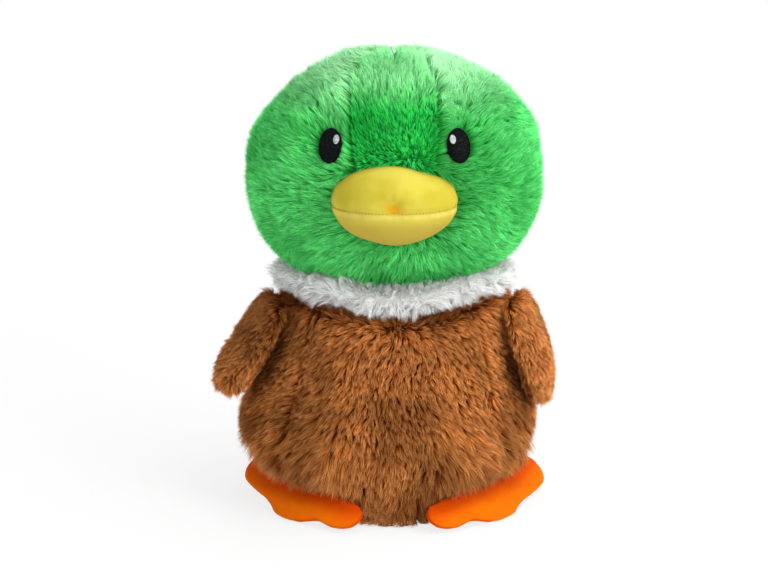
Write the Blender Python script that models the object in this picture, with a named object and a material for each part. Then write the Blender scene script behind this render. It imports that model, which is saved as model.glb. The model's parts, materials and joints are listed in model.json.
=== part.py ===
# Plush duck: a sitting stuffed toy, cut from plush panels, stuffed and sewn.
# Metres, +Z up. The duck faces -Y, its left side is at +X, and it sits on z = 0.

import math

import bpy
import bmesh
from mathutils import Matrix, Vector

# Cloth and seams
PILE = 0.0050
BACKING = 0.0010
PLUSH = PILE + BACKING
VELBOA = 0.0015
FELT = 0.0012
BASE_CLOTH = 0.0030
SEAM_GAP = 0.0006
SEAM_DIP = 0.0012
FIT = 0.0003
FILL_FIT = 0.0005
WELD = 0.000001
CREASE_ANGLE = math.radians(50)

# Body, from the floor to the neck seam
BODY_WIDTH = 0.157
BODY_DEPTH = 0.152
BODY_HEIGHT = 0.106
BELLY_ANGLE = math.radians(45)
BODY_PROFILE_SHARES = (
    (0.0, 0.92), (0.03, 0.945), (0.08, 0.965), (0.14, 0.98), (0.22, 0.99), (0.335, 1.0),
    (0.47, 0.99), (0.62, 0.945), (0.77, 0.89), (0.9, 0.84), (0.97, 0.80), (1.0, 0.75),
)
BODY_STEPS = 24
BODY_PANELS = {
    "body_front_panel": (-BELLY_ANGLE, BELLY_ANGLE),
    "body_left_panel": (BELLY_ANGLE, math.pi),
    "body_right_panel": (-math.pi, -BELLY_ANGLE),
}

# Tuck in the body's lower edge, over each foot, by angle from the front
TUCK_SHARE = 0.36
TUCK_HEIGHT = 0.038
TUCK_START = math.radians(9)
TUCK_FULL = math.radians(34)
TUCK_EASE = math.radians(80)
TUCK_END = math.radians(116)

# Collar
COLLAR_WIDTH = 0.123
COLLAR_DEPTH = 0.116
COLLAR_HEIGHT = 0.0126
COLLAR_HOLE_WIDTH = 0.072
COLLAR_HOLE_DEPTH = 0.060
COLLAR_SECTION_SHARES = ((0.0, 0.90), (0.16, 0.98), (0.42, 1.0), (0.72, 0.985), (0.92, 0.94), (1.0, 0.87))

# Head, a rounded form that the neck seam cuts
HEAD_WIDTH = 0.158
HEAD_DEPTH = 0.130
HEAD_HEIGHT = 0.1335
HEAD_FULLNESS = 2.15
HEAD_FORWARD = 0.002
NECK_DROP = 0.0525
HEAD_ROWS = 6

# Forehead gusset, as angles from straight ahead up and over the crown
GUSSET_WIDTH = 0.045
GUSSET_START = math.radians(-15)
GUSSET_END = math.radians(97)
GUSSET_WIDTH_SHARES = ((0.0, 0.0), (0.2, 0.86), (0.38, 1.0), (0.62, 1.0), (0.84, 0.64), (1.0, 0.0))
CHIN_STEPS = 3
GUSSET_STEPS = 9
NAPE_STEPS = 8
NECK_STEPS = 8
GUSSET_COLUMNS = 4

# Beak, placed from the middle of the head
BEAK_WIDTH = 0.063
BEAK_UPPER = 0.0205
BEAK_LOWER = 0.0195
BEAK_REACH = 0.028
BEAK_DROP = 0.0075
BEAK_UPPER_FULLNESS = 2.25
BEAK_LOWER_FULLNESS = 1.75
BEAK_REACH_FULLNESS = 2.1
BEAK_RING_SHARES = (1.0, 0.9, 0.72, 0.46, 0.0)
BEAK_STEPS = 10
BEAK_ROOT = 0.004

# Eyes, embroidered patches, placed from the middle of the head
EYE_WIDTH = 0.0126
EYE_HEIGHT = 0.0178
EYE_SPREAD = 0.0323
EYE_RAISE = 0.0206
EYE_LEAN = math.radians(6)
EYE_THREAD = 0.0012
EYE_ROOT = 0.0030
EYE_RING_SHARES = (1.0, 0.8, 0.0)
EYE_STEPS = 12
GLINT_WIDTH = 0.0034
GLINT_HEIGHT = 0.0044
GLINT_INWARD = 0.0026
GLINT_RAISE = 0.0036
GLINT_THREAD = 0.0006

# Wings, hanging from the shoulder seam
WING_LENGTH = 0.058
WING_WIDTH = 0.047
WING_OUTER_SWELL = 0.0080
WING_INNER_SWELL = 0.0014
WING_EDGE = 0.0012
WING_HEIGHT = 0.1065
WING_TURN = math.radians(16)
WING_LEFT_SPREAD = math.radians(19)
WING_RIGHT_SPREAD = math.radians(30)
WING_OUTLINE_SHARES = (
    (-0.26, 0.0), (0.0, 0.0), (0.26, 0.0), (0.42, 0.20), (0.50, 0.46), (0.49, 0.72),
    (0.36, 0.92), (0.12, 1.0), (-0.12, 1.0), (-0.36, 0.93), (-0.49, 0.74), (-0.50, 0.46), (-0.42, 0.20),
)
WING_CENTRE_SHARES = (0.0, 0.52)
WING_RING_SHARES = (1.0, 0.86, 0.62, 0.32, 0.0)
WING_SEAT_STEPS = 24

# Feet, lobed pads sewn on in the tuck, which lean out from their roots down to the floor
FOOT_WIDTH = 0.100
FOOT_REACH = 0.021
FOOT_TURN = math.radians(46)
FOOT_TILT = math.radians(50)
FOOT_BEND = 0.130
FOOT_SWELL = 0.0021
FOOT_RAISE = 0.0003
FOOT_FIT = 0.0003
FOOT_SEAT_STEP = 0.0002
FOOT_OUTLINE_SHARES = (
    (-0.40, 0.33), (-0.28, 0.21), (-0.12, 0.10), (0.04, 0.02), (0.16, -0.12), (0.30, -0.24), (0.42, -0.21),
    (0.51, -0.07), (0.555, 0.14), (0.545, 0.38), (0.48, 0.53), (0.38, 0.58), (0.27, 0.63), (0.19, 0.68),
    (0.11, 0.80), (0.055, 0.93), (-0.03, 1.0), (-0.11, 1.0), (-0.175, 0.93), (-0.24, 0.85), (-0.305, 0.91),
    (-0.36, 0.92), (-0.415, 0.86), (-0.448, 0.70), (-0.45, 0.51), (-0.43, 0.40),
)
FOOT_AXIS_SHARES = ((-0.40, 0.22), (0.30, -0.25))
FOOT_CENTRE_SHARES = (0.05, 0.40)
FOOT_RING_SHARES = (1.0, 0.82, 0.0)

# Tail, a small upturned tuft at the back
TAIL_WIDTH = 0.042
TAIL_LENGTH = 0.030
TAIL_ROOT = 0.012
TAIL_SWELL = 0.0078
TAIL_EDGE = 0.0012
TAIL_HEIGHT = 0.034
TAIL_LIFT = math.radians(38)
TAIL_OUTLINE_SHARES = (
    (-0.42, 0.0), (0.0, 0.0), (0.42, 0.0), (0.50, 0.34), (0.46, 0.66), (0.28, 0.92), (0.0, 1.0),
    (-0.28, 0.92), (-0.46, 0.66), (-0.50, 0.34),
)
TAIL_CENTRE_SHARES = (0.0, 0.46)
TAIL_RING_SHARES = (1.0, 0.84, 0.55, 0.0)

# Bean pouch that sits on the base
POUCH_WIDTH = 0.076
POUCH_HEIGHT = 0.020
POUCH_FIT = 0.0006
POUCH_SECTION_SHARES = ((0.0, 0.70), (0.2, 0.93), (0.45, 1.0), (0.78, 0.82), (1.0, 0.36))

# Neck stuffing, which stands up into the collar
NECK_STUFFING = 0.0070
NECK_STUFFING_SHARES = ((0.0, 1.0), (0.55, 0.82), (1.0, 0.42))

COLLAR_BOTTOM = BODY_HEIGHT + FIT
COLLAR_TOP = COLLAR_BOTTOM + COLLAR_HEIGHT
NECK_LEVEL = COLLAR_TOP + FIT
HEAD_MIDDLE = Vector((0, -HEAD_FORWARD, NECK_LEVEL + NECK_DROP))

COLOURS = {
    "plush_green": (0.045, 0.420, 0.085),
    "plush_brown": (0.300, 0.105, 0.032),
    "plush_white": (0.620, 0.650, 0.640),
    "velboa_yellow": (0.770, 0.560, 0.060),
    "felt_orange": (0.960, 0.170, 0.004),
    "thread_black": (0.006, 0.007, 0.007),
    "thread_white": (0.620, 0.630, 0.640),
    "fiberfill": (0.800, 0.800, 0.780),
    "pouch_cloth": (0.640, 0.620, 0.560),
    "foam_sheet": (0.780, 0.760, 0.660),
}
CLOTH_ROUGHNESS = 0.9


def clear_scene():
    for obj in list(bpy.data.objects):
        bpy.data.objects.remove(obj, do_unlink=True)


def make_material(name):
    material = bpy.data.materials.new(name)
    material.use_nodes = True
    shader = material.node_tree.nodes["Principled BSDF"]
    shader.inputs["Base Color"].default_value = (*COLOURS[name], 1)
    shader.inputs["Roughness"].default_value = CLOTH_ROUGHNESS
    shader.inputs["Metallic"].default_value = 0
    return material


def through(shares, at):
    """Smooth curve through (place, value) pairs, read at a place."""
    last = len(shares) - 1
    at = min(max(at, shares[0][0]), shares[last][0])
    i = max(k for k in range(last) if shares[k][0] <= at)

    def slope(k):
        a, b = max(k - 1, 0), min(k + 1, last)
        return (shares[b][1] - shares[a][1]) / (shares[b][0] - shares[a][0])

    (x0, y0), (x1, y1) = shares[i], shares[i + 1]
    span = x1 - x0
    t = (at - x0) / span
    return (
        y0 * (1 + 2 * t) * (1 - t) ** 2
        + slope(i) * span * t * (1 - t) ** 2
        + y1 * t ** 2 * (3 - 2 * t)
        + slope(i + 1) * span * t ** 2 * (t - 1)
    )


def finish(bm, name, material):
    """Weld, turn the faces outwards and put the mesh on an object."""
    bmesh.ops.remove_doubles(bm, verts=bm.verts[:], dist=WELD)
    bmesh.ops.recalc_face_normals(bm, faces=bm.faces[:])
    mesh = bpy.data.meshes.new(name)
    bm.to_mesh(mesh)
    bm.free()
    if material:
        mesh.materials.append(bpy.data.materials[material])
    mesh.shade_smooth()
    mesh.set_sharp_from_angle(angle=CREASE_ANGLE)
    obj = bpy.data.objects.new(name, mesh)
    bpy.context.collection.objects.link(obj)
    return obj


def add_grid(bm, rows, wraps=False):
    """Faces over rows of points; each row may close on itself."""
    grid = [[bm.verts.new(point) for point in row] for row in rows]
    for lower, upper in zip(grid, grid[1:]):
        count = len(lower)
        for i in range(count if wraps else count - 1):
            j = (i + 1) % count
            bm.faces.new((lower[i], lower[j], upper[j], upper[i]))
    return grid


def panel(name, outer, inner, material, wraps=False):
    """One layer of cloth: two grids of points, joined round their edges."""
    bm = bmesh.new()
    top, under = add_grid(bm, outer, wraps), add_grid(bm, inner, wraps)
    rows, columns = len(outer), len(outer[0])
    edge = [(0, c) for c in range(columns)]
    if not wraps:
        edge += [(r, columns - 1) for r in range(1, rows)]
        edge += [(rows - 1, c) for c in range(columns - 2, -1, -1)]
        edge += [(r, 0) for r in range(rows - 2, 0, -1)]
    for (r0, c0), (r1, c1) in zip(edge, edge[1:] + edge[:1]):
        if (outer[r0][c0] - outer[r1][c1]).length > WELD:
            bm.faces.new((top[r0][c0], top[r1][c1], under[r1][c1], under[r0][c0]))
    return finish(bm, name, material)


def stack(name, rings, material):
    """A closed form from rings of points, with its first and last ring filled."""
    bm = bmesh.new()
    grid = add_grid(bm, rings, wraps=True)
    for ring in (grid[0], grid[-1]):
        if (ring[0].co - ring[1].co).length > WELD:
            bm.faces.new(ring)
    return finish(bm, name, material)


def oval(half_width, half_depth, height):
    angles = [math.tau * i / BODY_STEPS for i in range(BODY_STEPS)]
    return [Vector((half_width * math.sin(a), -half_depth * math.cos(a), height)) for a in angles]


def make_cutter(obj):
    obj.hide_render = True
    obj.display_type = "WIRE"
    return obj


def cut_by(obj, cutter):
    cut = obj.modifiers.new("seat", "BOOLEAN")
    cut.operation = "DIFFERENCE"
    cut.solver = "EXACT"
    cut.object = cutter


def on_axis(name, place, objects):
    """Hang objects on an empty that stands on their joint's axis."""
    empty = bpy.data.objects.new(name, None)
    empty.location = place
    bpy.context.collection.objects.link(empty)
    for obj in objects:
        obj.data.transform(Matrix.Translation(-Vector(place)))
        obj.parent = empty
    return empty


# Body

def body_heights():
    return [share * BODY_HEIGHT for share, _ in BODY_PROFILE_SHARES]


def ease(value, start, end):
    """From 0 at the start to 1 at the end, smoothly."""
    t = min(max((value - start) / (end - start), 0.0), 1.0)
    return t * t * (3 - 2 * t)


def body_point(angle, height, inset):
    """On the body, at an angle from the front."""
    turn = abs(math.remainder(angle, math.tau))
    over_foot = ease(turn, TUCK_START, TUCK_FULL) * (1 - ease(turn, TUCK_EASE, TUCK_END))
    share = through(BODY_PROFILE_SHARES, height / BODY_HEIGHT)
    share -= TUCK_SHARE * over_foot * (1 - ease(height, 0, TUCK_HEIGHT))
    half_width, half_depth = share * BODY_WIDTH / 2 - inset, share * BODY_DEPTH / 2 - inset
    return Vector((half_width * math.sin(angle), -half_depth * math.cos(angle), height))


def body_ring(height, inset):
    return [body_point(math.tau * i / BODY_STEPS, height, inset) for i in range(BODY_STEPS)]


def body_row(name, height, inset, dip):
    """A panel's points at a height, from seam to seam, drawn in at both seams."""
    start, end = BODY_PANELS[name]
    columns = round((end - start) * BODY_STEPS / math.tau)
    seam = SEAM_GAP / BODY_DEPTH
    row = []
    for i in range(columns + 1):
        angle = start + (end - start) * i / columns
        angle += seam if i == 0 else -seam if i == columns else 0
        row.append(body_point(angle, height, inset + (dip if i in (0, columns) else 0)))
    return row


def body_panel(name):
    outer = [body_row(name, height, 0, SEAM_DIP) for height in body_heights()]
    inner = [body_row(name, height, PLUSH, 0) for height in body_heights()]
    return panel(name, outer, inner, "plush_brown")


def body_reach(direction, height):
    """How far the body reaches in a level direction, at a height."""
    return max(point.dot(direction) for name in BODY_PANELS for point in body_row(name, height, 0, SEAM_DIP))


def clears_body(point, clearance):
    if not 0 < point.z < BODY_HEIGHT:
        return True
    surface = body_point(math.atan2(point.x / BODY_WIDTH, -point.y / BODY_DEPTH), point.z, -clearance)
    return math.hypot(point.x, point.y) >= math.hypot(surface.x, surface.y)


def body_base():
    bm = bmesh.new()
    floor = [bm.verts.new(point) for point in body_ring(0, PLUSH + SEAM_GAP)]
    disc = bm.faces.new(floor)
    raised = bmesh.ops.extrude_face_region(bm, geom=[disc])["geom"]
    tops = [item for item in raised if isinstance(item, bmesh.types.BMVert)]
    bmesh.ops.translate(bm, verts=tops, vec=(0, 0, BASE_CLOTH))
    return finish(bm, "body_base_panel", "plush_brown")


def pouch_ring(width_share, height_share, clearance):
    half = POUCH_WIDTH / 2 * width_share + clearance
    height = BASE_CLOTH + FIT + POUCH_HEIGHT * height_share
    return oval(half, half * BODY_DEPTH / BODY_WIDTH, height + (clearance if height_share else 0))


def bean_pouch():
    rings = [pouch_ring(width_share, height_share, 0) for height_share, width_share in POUCH_SECTION_SHARES]
    return stack("bean_pouch", rings, "pouch_cloth")


def body_stuffing():
    """Filling with a hollow for the pouch below and a neck above."""
    inset = PLUSH + FILL_FIT
    bottom = BASE_CLOTH + FIT
    widest = max(POUCH_SECTION_SHARES, key=lambda share: share[1])[0]
    rings = [
        pouch_ring(width_share, height_share, POUCH_FIT)
        for height_share, width_share in reversed(POUCH_SECTION_SHARES) if height_share >= widest
    ]
    rings.append(pouch_ring(1.0, 0, POUCH_FIT))
    rings.append(body_ring(bottom, inset + SEAM_GAP))
    rings += [body_ring(height, inset) for height in body_heights() if height > bottom + FIT]
    neck_width = COLLAR_HOLE_WIDTH / 2 - FIT
    neck_depth = COLLAR_HOLE_DEPTH / 2 - FIT
    for height_share, width_share in NECK_STUFFING_SHARES:
        height = BODY_HEIGHT + FIT + NECK_STUFFING * height_share
        rings.append(oval(neck_width * width_share, neck_depth * width_share, height))
    return stack("body_stuffing", rings, "fiberfill")


def collar():
    rings = []
    for height_share, width_share in COLLAR_SECTION_SHARES:
        height = COLLAR_BOTTOM + COLLAR_HEIGHT * height_share
        rings.append(oval(COLLAR_WIDTH / 2 * width_share, COLLAR_DEPTH / 2 * width_share, height))
    for height in (COLLAR_TOP, COLLAR_BOTTOM):
        rings.append(oval(COLLAR_HOLE_WIDTH / 2, COLLAR_HOLE_DEPTH / 2, height))
    bm = bmesh.new()
    add_grid(bm, rings + rings[:1], wraps=True)
    return finish(bm, "collar_band", "plush_white")


# Head

def head_axes(inset):
    return HEAD_WIDTH / 2 - inset, HEAD_DEPTH / 2 - inset, HEAD_HEIGHT / 2 - inset


def head_point(angle, across, inset):
    """On the head, at an angle over it from straight ahead and a place across it."""
    wide, deep, tall = head_axes(inset)
    n = HEAD_FULLNESS
    left = max(0.0, 1 - abs(across / wide) ** n)
    reach = (left / (abs(math.cos(angle) / deep) ** n + abs(math.sin(angle) / tall) ** n)) ** (1 / n)
    return HEAD_MIDDLE + Vector((across, -reach * math.cos(angle), reach * math.sin(angle)))


def head_front(across, raised, inset):
    """The front of the head at a place across and a height from its middle."""
    wide, deep, tall = head_axes(inset)
    n = HEAD_FULLNESS
    left = max(0.0, 1 - abs(across / wide) ** n - abs(raised / tall) ** n)
    return HEAD_MIDDLE + Vector((across, -deep * left ** (1 / n), raised))


def gusset_half(angle):
    share = (angle - GUSSET_START) / (GUSSET_END - GUSSET_START)
    return GUSSET_WIDTH / 2 * max(0.0, through(GUSSET_WIDTH_SHARES, share))


def head_edge(inset):
    """Where a side panel ends, as (angle, place across), all the way round."""
    wide, deep, tall = head_axes(inset)
    n = HEAD_FULLNESS
    open_share = (1 - (NECK_DROP / tall) ** n) ** (1 / n)
    throat = math.atan2(-NECK_DROP, deep * open_share)
    nape = math.pi - throat
    edge = []
    for i in range(CHIN_STEPS):
        edge.append((throat + (GUSSET_START - throat) * i / CHIN_STEPS, 0.0))
    for i in range(GUSSET_STEPS):
        angle = GUSSET_START + (GUSSET_END - GUSSET_START) * i / GUSSET_STEPS
        edge.append((angle, gusset_half(angle)))
    for i in range(NAPE_STEPS):
        edge.append((GUSSET_END + (nape - GUSSET_END) * i / NAPE_STEPS, 0.0))
    for i in range(NECK_STEPS):
        turn = math.pi * i / NECK_STEPS
        back = deep * open_share * math.copysign(abs(math.cos(turn)) ** (2 / n), math.cos(turn))
        across = wide * open_share * math.sin(turn) ** (2 / n)
        edge.append((math.atan2(-NECK_DROP, -back), across))
    return edge


def head_side_rows(side, inset, gap, dip):
    """Rows from the edge of a side panel to the middle of the cheek."""
    rows = []
    for row in range(HEAD_ROWS + 1):
        here = inset + (dip if row == 0 else 0)
        wide = head_axes(here)[0]
        points = []
        for angle, across in head_edge(here):
            start = math.asin(min(1.0, (across + gap) / wide))
            place = wide * math.sin(start + (math.pi / 2 - start) * row / HEAD_ROWS)
            points.append(head_point(angle, side * place, here))
        rows.append([Vector(point) for point in points])
    return rows


def head_gusset_rows(inset, gap, dip):
    rows = []
    for i in range(GUSSET_STEPS + 1):
        angle = GUSSET_START + (GUSSET_END - GUSSET_START) * i / GUSSET_STEPS
        half = max(0.0, gusset_half(angle) - gap)
        row = []
        for c in range(GUSSET_COLUMNS + 1):
            share = 2 * c / GUSSET_COLUMNS - 1
            at_seam = half == 0 or c in (0, GUSSET_COLUMNS)
            row.append(head_point(angle, half * share, inset + (dip if at_seam else 0)))
        rows.append(row)
    return rows


def head_form(name, inset, material):
    """The whole head as one closed form, with the facets of its panels."""
    bm = bmesh.new()
    for side in (1, -1):
        add_grid(bm, head_side_rows(side, inset, 0, 0), wraps=True)
    add_grid(bm, head_gusset_rows(inset, 0, 0))
    bmesh.ops.remove_doubles(bm, verts=bm.verts[:], dist=WELD)
    bmesh.ops.holes_fill(bm, edges=[edge for edge in bm.edges if edge.is_boundary], sides=0)
    return finish(bm, name, material)


def head_panels():
    gap = SEAM_GAP / 2
    pieces = []
    for side, name in ((1, "head_left_panel"), (-1, "head_right_panel")):
        outer = head_side_rows(side, 0, gap, SEAM_DIP)
        inner = head_side_rows(side, PLUSH, gap, 0)
        pieces.append(panel(name, outer, inner, "plush_green", wraps=True))
    outer = head_gusset_rows(0, gap, SEAM_DIP)
    inner = head_gusset_rows(PLUSH, gap, 0)
    pieces.append(panel("head_gusset", outer, inner, "plush_green"))
    return pieces


# Beak

def beak_point(angle, ring, inset, seam):
    """On the bill, at an angle round it as seen from the front and a share out from its tip."""
    upper = math.sin(angle) >= 0
    wide = BEAK_WIDTH / 2 - inset
    tall = (BEAK_UPPER if upper else BEAK_LOWER) - inset
    n = BEAK_UPPER_FULLNESS if upper else BEAK_LOWER_FULLNESS
    out = (abs(math.cos(angle) / wide) ** n + abs(math.sin(angle) / tall) ** n) ** (-1 / n)
    reach = (BEAK_REACH - inset) * (1 - ring ** BEAK_REACH_FULLNESS) ** (1 / BEAK_REACH_FULLNESS)
    corner = head_front(BEAK_WIDTH / 2, -BEAK_DROP, 0)
    across = ring * out * math.cos(angle)
    up = ring * out * math.sin(angle)
    up = max(up, seam) if upper else min(up, -seam)
    return Vector((across, corner.y - reach, corner.z + up))


def beak_rows(start, end, inset, seam):
    columns = [start + (end - start) * i / BEAK_STEPS for i in range(BEAK_STEPS + 1)]
    root = [beak_point(angle, 1.0, inset, seam) + Vector((0, BEAK_ROOT + inset, 0)) for angle in columns]
    return [root] + [[beak_point(angle, ring, inset, seam) for angle in columns] for ring in BEAK_RING_SHARES]


def beak(head_cutter):
    pieces = []
    for name, start, end in (("beak_upper", 0, math.pi), ("beak_lower", -math.pi, 0)):
        seam = SEAM_GAP / 2
        outer = beak_rows(start, end, 0, seam)
        inner = beak_rows(start, end, VELBOA, seam)
        pieces.append(panel(name, outer, inner, "velboa_yellow"))
    rings = []
    inset = VELBOA + FIT
    upper = beak_rows(0, math.pi, inset, 0)
    lower = beak_rows(-math.pi, 0, inset, 0)
    for above, below in zip(upper, lower):
        rings.append(above[:-1] + below[:-1])
    pieces.append(stack("beak_stuffing", rings, "fiberfill"))
    for piece in pieces:
        cut_by(piece, head_cutter)
    return pieces


# Eyes

def eye_patch(name, side, centre, size, lean, base, thread, root, material):
    """A stitched oval on the head, from its root up to its thread."""
    across, raised = centre
    half_width, half_height = size[0] / 2, size[1] / 2

    def ring(share, inset):
        points = []
        for i in range(EYE_STEPS):
            angle = math.tau * i / EYE_STEPS
            u, v = share * half_width * math.cos(angle), share * half_height * math.sin(angle)
            x = across + u * math.cos(lean) - v * math.sin(lean)
            z = raised + u * math.sin(lean) + v * math.cos(lean)
            points.append(head_front(side * x, z, inset))
        return points

    rings = [ring(share, -root) for share in reversed(EYE_RING_SHARES)]
    rings.append(ring(1.0, -(base + thread / 2)))
    rings += [ring(share, -(base + thread)) for share in EYE_RING_SHARES[1:]]
    return stack(name, rings, material)


def eyes(head_cutter):
    pieces = []
    for side, name in ((1, "eye_left"), (-1, "eye_right")):
        centre = (EYE_SPREAD, EYE_RAISE)
        eye = eye_patch(name, side, centre, (EYE_WIDTH, EYE_HEIGHT), EYE_LEAN, FIT, EYE_THREAD,
                        -EYE_ROOT, "thread_black")
        cut_by(eye, head_cutter)
        above = FIT + EYE_THREAD + FIT
        glint_centre = (EYE_SPREAD - GLINT_INWARD, EYE_RAISE + GLINT_RAISE)
        glint = eye_patch(name + "_highlight", side, glint_centre, (GLINT_WIDTH, GLINT_HEIGHT), EYE_LEAN,
                          above, GLINT_THREAD, above, "thread_white")
        pieces += [eye, glint]
    return pieces


# Padded limbs, each a pair of panels over a filling

def cushion_layer(name, outline, centre, rings, upper, lower, place, material):
    """A layer of a limb between two heights, which follow each ring's share of the outline."""
    def ring(share, height):
        return [place(*(centre + (point - centre) * share), height(share)) for point in outline]

    loops = [ring(share, upper) for share in reversed(rings)]
    loops += [ring(share, lower) for share in rings]
    return stack(name, loops, material)


def dome(share, edge, swell):
    return edge + swell * math.sqrt(max(0.0, 1 - share ** 2))


def scaled(shares, width, length):
    return [(x * width, y * length) for x, y in shares]


def wing_seat(toward, spread):
    """How far out the shoulder seam lies for the whole inner face to clear the body."""
    middle = WING_CENTRE_SHARES[1]
    seat = 0
    for step in range(WING_SEAT_STEPS + 1):
        share = step / WING_SEAT_STEPS
        ring = abs(share - middle) / (middle if share < middle else 1 - middle)
        thick = dome(ring, WING_EDGE, WING_INNER_SWELL)
        out = share * WING_LENGTH * math.sin(spread) - thick * math.cos(spread)
        height = WING_HEIGHT - share * WING_LENGTH * math.cos(spread) - thick * math.sin(spread)
        seat = max(seat, body_reach(toward, height) - out)
    return seat + FIT / math.cos(spread)


def wing(name, side, spread):
    outline = [Vector(point) for point in scaled(WING_OUTLINE_SHARES, WING_WIDTH, WING_LENGTH)]
    centre = Vector(scaled([WING_CENTRE_SHARES], WING_WIDTH, WING_LENGTH)[0])
    toward = Vector((side * math.cos(WING_TURN), -math.sin(WING_TURN), 0))
    across = Vector((side * math.sin(WING_TURN), math.cos(WING_TURN), 0))
    axis = toward * wing_seat(toward, spread) + Vector((0, 0, WING_HEIGHT))
    down = toward * math.sin(spread) - Vector((0, 0, math.cos(spread)))
    out = toward * math.cos(spread) + Vector((0, 0, math.sin(spread)))

    def place(u, v, height):
        return axis + across * u + down * v + out * height

    gap = SEAM_GAP / 2
    outer = lambda share: dome(share, WING_EDGE, WING_OUTER_SWELL)
    inner = lambda share: -dome(share, WING_EDGE, WING_INNER_SWELL)
    lining = lambda share: max(outer(share) - PLUSH, gap)
    filled = [share for share in WING_RING_SHARES if outer(share) - PLUSH > gap + 2 * FIT]
    layers = (
        ("outer_panel", WING_RING_SHARES, outer, lining, "plush_brown"),
        ("stuffing", filled, lambda share: lining(share) - FIT, lambda share: FIT - gap, "fiberfill"),
        ("inner_panel", WING_RING_SHARES, lambda share: -gap, inner, "plush_brown"),
    )
    pieces = [
        cushion_layer(name + "_" + layer, outline, centre, rings, upper, lower, place, material)
        for layer, rings, upper, lower, material in layers
    ]
    on_axis(name + "_axis", axis, pieces)
    return axis, across


def foot(name, side):
    outline = [Vector(point) for point in scaled(FOOT_OUTLINE_SHARES, FOOT_WIDTH, FOOT_REACH)]
    centre = Vector(scaled([FOOT_CENTRE_SHARES], FOOT_WIDTH, FOOT_REACH)[0])
    toward = Vector((side * math.sin(FOOT_TURN), -math.cos(FOOT_TURN), 0))
    across = Vector((side * math.cos(FOOT_TURN), math.sin(FOOT_TURN), 0))
    down = toward * math.cos(FOOT_TILT) - Vector((0, 0, math.sin(FOOT_TILT)))
    out = toward * math.sin(FOOT_TILT) + Vector((0, 0, math.cos(FOOT_TILT)))
    root = Vector((0, 0, FOOT_RAISE + FOOT_REACH * math.sin(FOOT_TILT)))
    edge = 2 * FELT + SEAM_GAP
    top = lambda share: dome(share, edge, FOOT_SWELL)

    def place(u, v, height):
        return root + toward * (seat - u * u / (2 * FOOT_BEND)) + across * u + down * v + out * height

    def seated():
        for share in FOOT_RING_SHARES:
            for point in outline:
                u, v = centre + (point - centre) * share
                if not all(clears_body(place(u, v, height), FOOT_FIT) for height in (0, top(share))):
                    return False
        return True

    seat = 0
    while not seated():
        seat += FOOT_SEAT_STEP

    layers = (
        ("top", FOOT_RING_SHARES, top, lambda share: top(share) - FELT, "felt_orange"),
        ("foam", FOOT_RING_SHARES[1:], lambda share: top(share) - FELT - FILL_FIT,
         lambda share: FELT + FILL_FIT, "foam_sheet"),
        ("sole", FOOT_RING_SHARES, lambda share: FELT, lambda share: 0.0, "felt_orange"),
    )
    pieces = [
        cushion_layer(name + "_" + layer, outline, centre, rings, upper, lower, place, material)
        for layer, rings, upper, lower, material in layers
    ]
    inner, outer = (place(u, v, edge / 2) for u, v in scaled(FOOT_AXIS_SHARES, FOOT_WIDTH, FOOT_REACH))
    axis = (inner + outer) / 2
    on_axis(name + "_axis", axis, pieces)
    return axis, (outer - inner).normalized()


def tail(body_cutter):
    outline = [Vector(point) for point in scaled(TAIL_OUTLINE_SHARES, TAIL_WIDTH, TAIL_LENGTH + TAIL_ROOT)]
    centre = Vector(scaled([TAIL_CENTRE_SHARES], TAIL_WIDTH, TAIL_LENGTH + TAIL_ROOT)[0])
    back = Vector((0, math.cos(TAIL_LIFT), math.sin(TAIL_LIFT)))
    over = Vector((0, -math.sin(TAIL_LIFT), math.cos(TAIL_LIFT)))
    root = body_point(math.pi, TAIL_HEIGHT, 0) - back * TAIL_ROOT

    def place(u, v, height):
        return root + Vector((u, 0, 0)) + back * v + over * height

    gap = SEAM_GAP / 2
    skin = lambda share: dome(share, TAIL_EDGE, TAIL_SWELL)
    lining = lambda share: max(skin(share) - PLUSH, gap)
    filled = [share for share in TAIL_RING_SHARES if skin(share) - PLUSH > gap + 2 * FIT]
    layers = (
        ("upper_panel", TAIL_RING_SHARES, skin, lining, "plush_brown"),
        ("stuffing", filled, lambda share: lining(share) - FIT, lambda share: FIT - lining(share),
         "fiberfill"),
        ("lower_panel", TAIL_RING_SHARES, lambda share: -lining(share), lambda share: -skin(share),
         "plush_brown"),
    )
    for layer, rings, upper, lower, material in layers:
        piece = cushion_layer("tail_" + layer, outline, centre, rings, upper, lower, place, material)
        cut_by(piece, body_cutter)


def build():
    clear_scene()
    for name in COLOURS:
        make_material(name)

    head_cutter = make_cutter(head_form("head_seat", -FIT, None))
    body_rings = [body_ring(height, -FIT) for height in body_heights()]
    body_cutter = make_cutter(stack("body_seat", body_rings, None))

    for name in BODY_PANELS:
        body_panel(name)
    body_base()
    bean_pouch()
    body_stuffing()
    collar()
    tail(body_cutter)

    head = head_panels()
    head.append(head_form("head_stuffing", PLUSH + FILL_FIT, "fiberfill"))
    head += beak(head_cutter)
    head += eyes(head_cutter)
    nod_axis = (0, 0, (COLLAR_BOTTOM + COLLAR_TOP) / 2)
    on_axis("head_nod_axis", nod_axis, head)

    axes = {"head_nod": (nod_axis, (1, 0, 0))}
    axes["wing_left"] = wing("wing_left", 1, WING_LEFT_SPREAD)
    axes["wing_right"] = wing("wing_right", -1, WING_RIGHT_SPREAD)
    axes["foot_left"] = foot("foot_left", 1)
    axes["foot_right"] = foot("foot_right", -1)
    for name, (place, direction) in axes.items():
        print(name, [round(value, 5) for value in place], [round(value, 5) for value in direction])


build()
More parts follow.
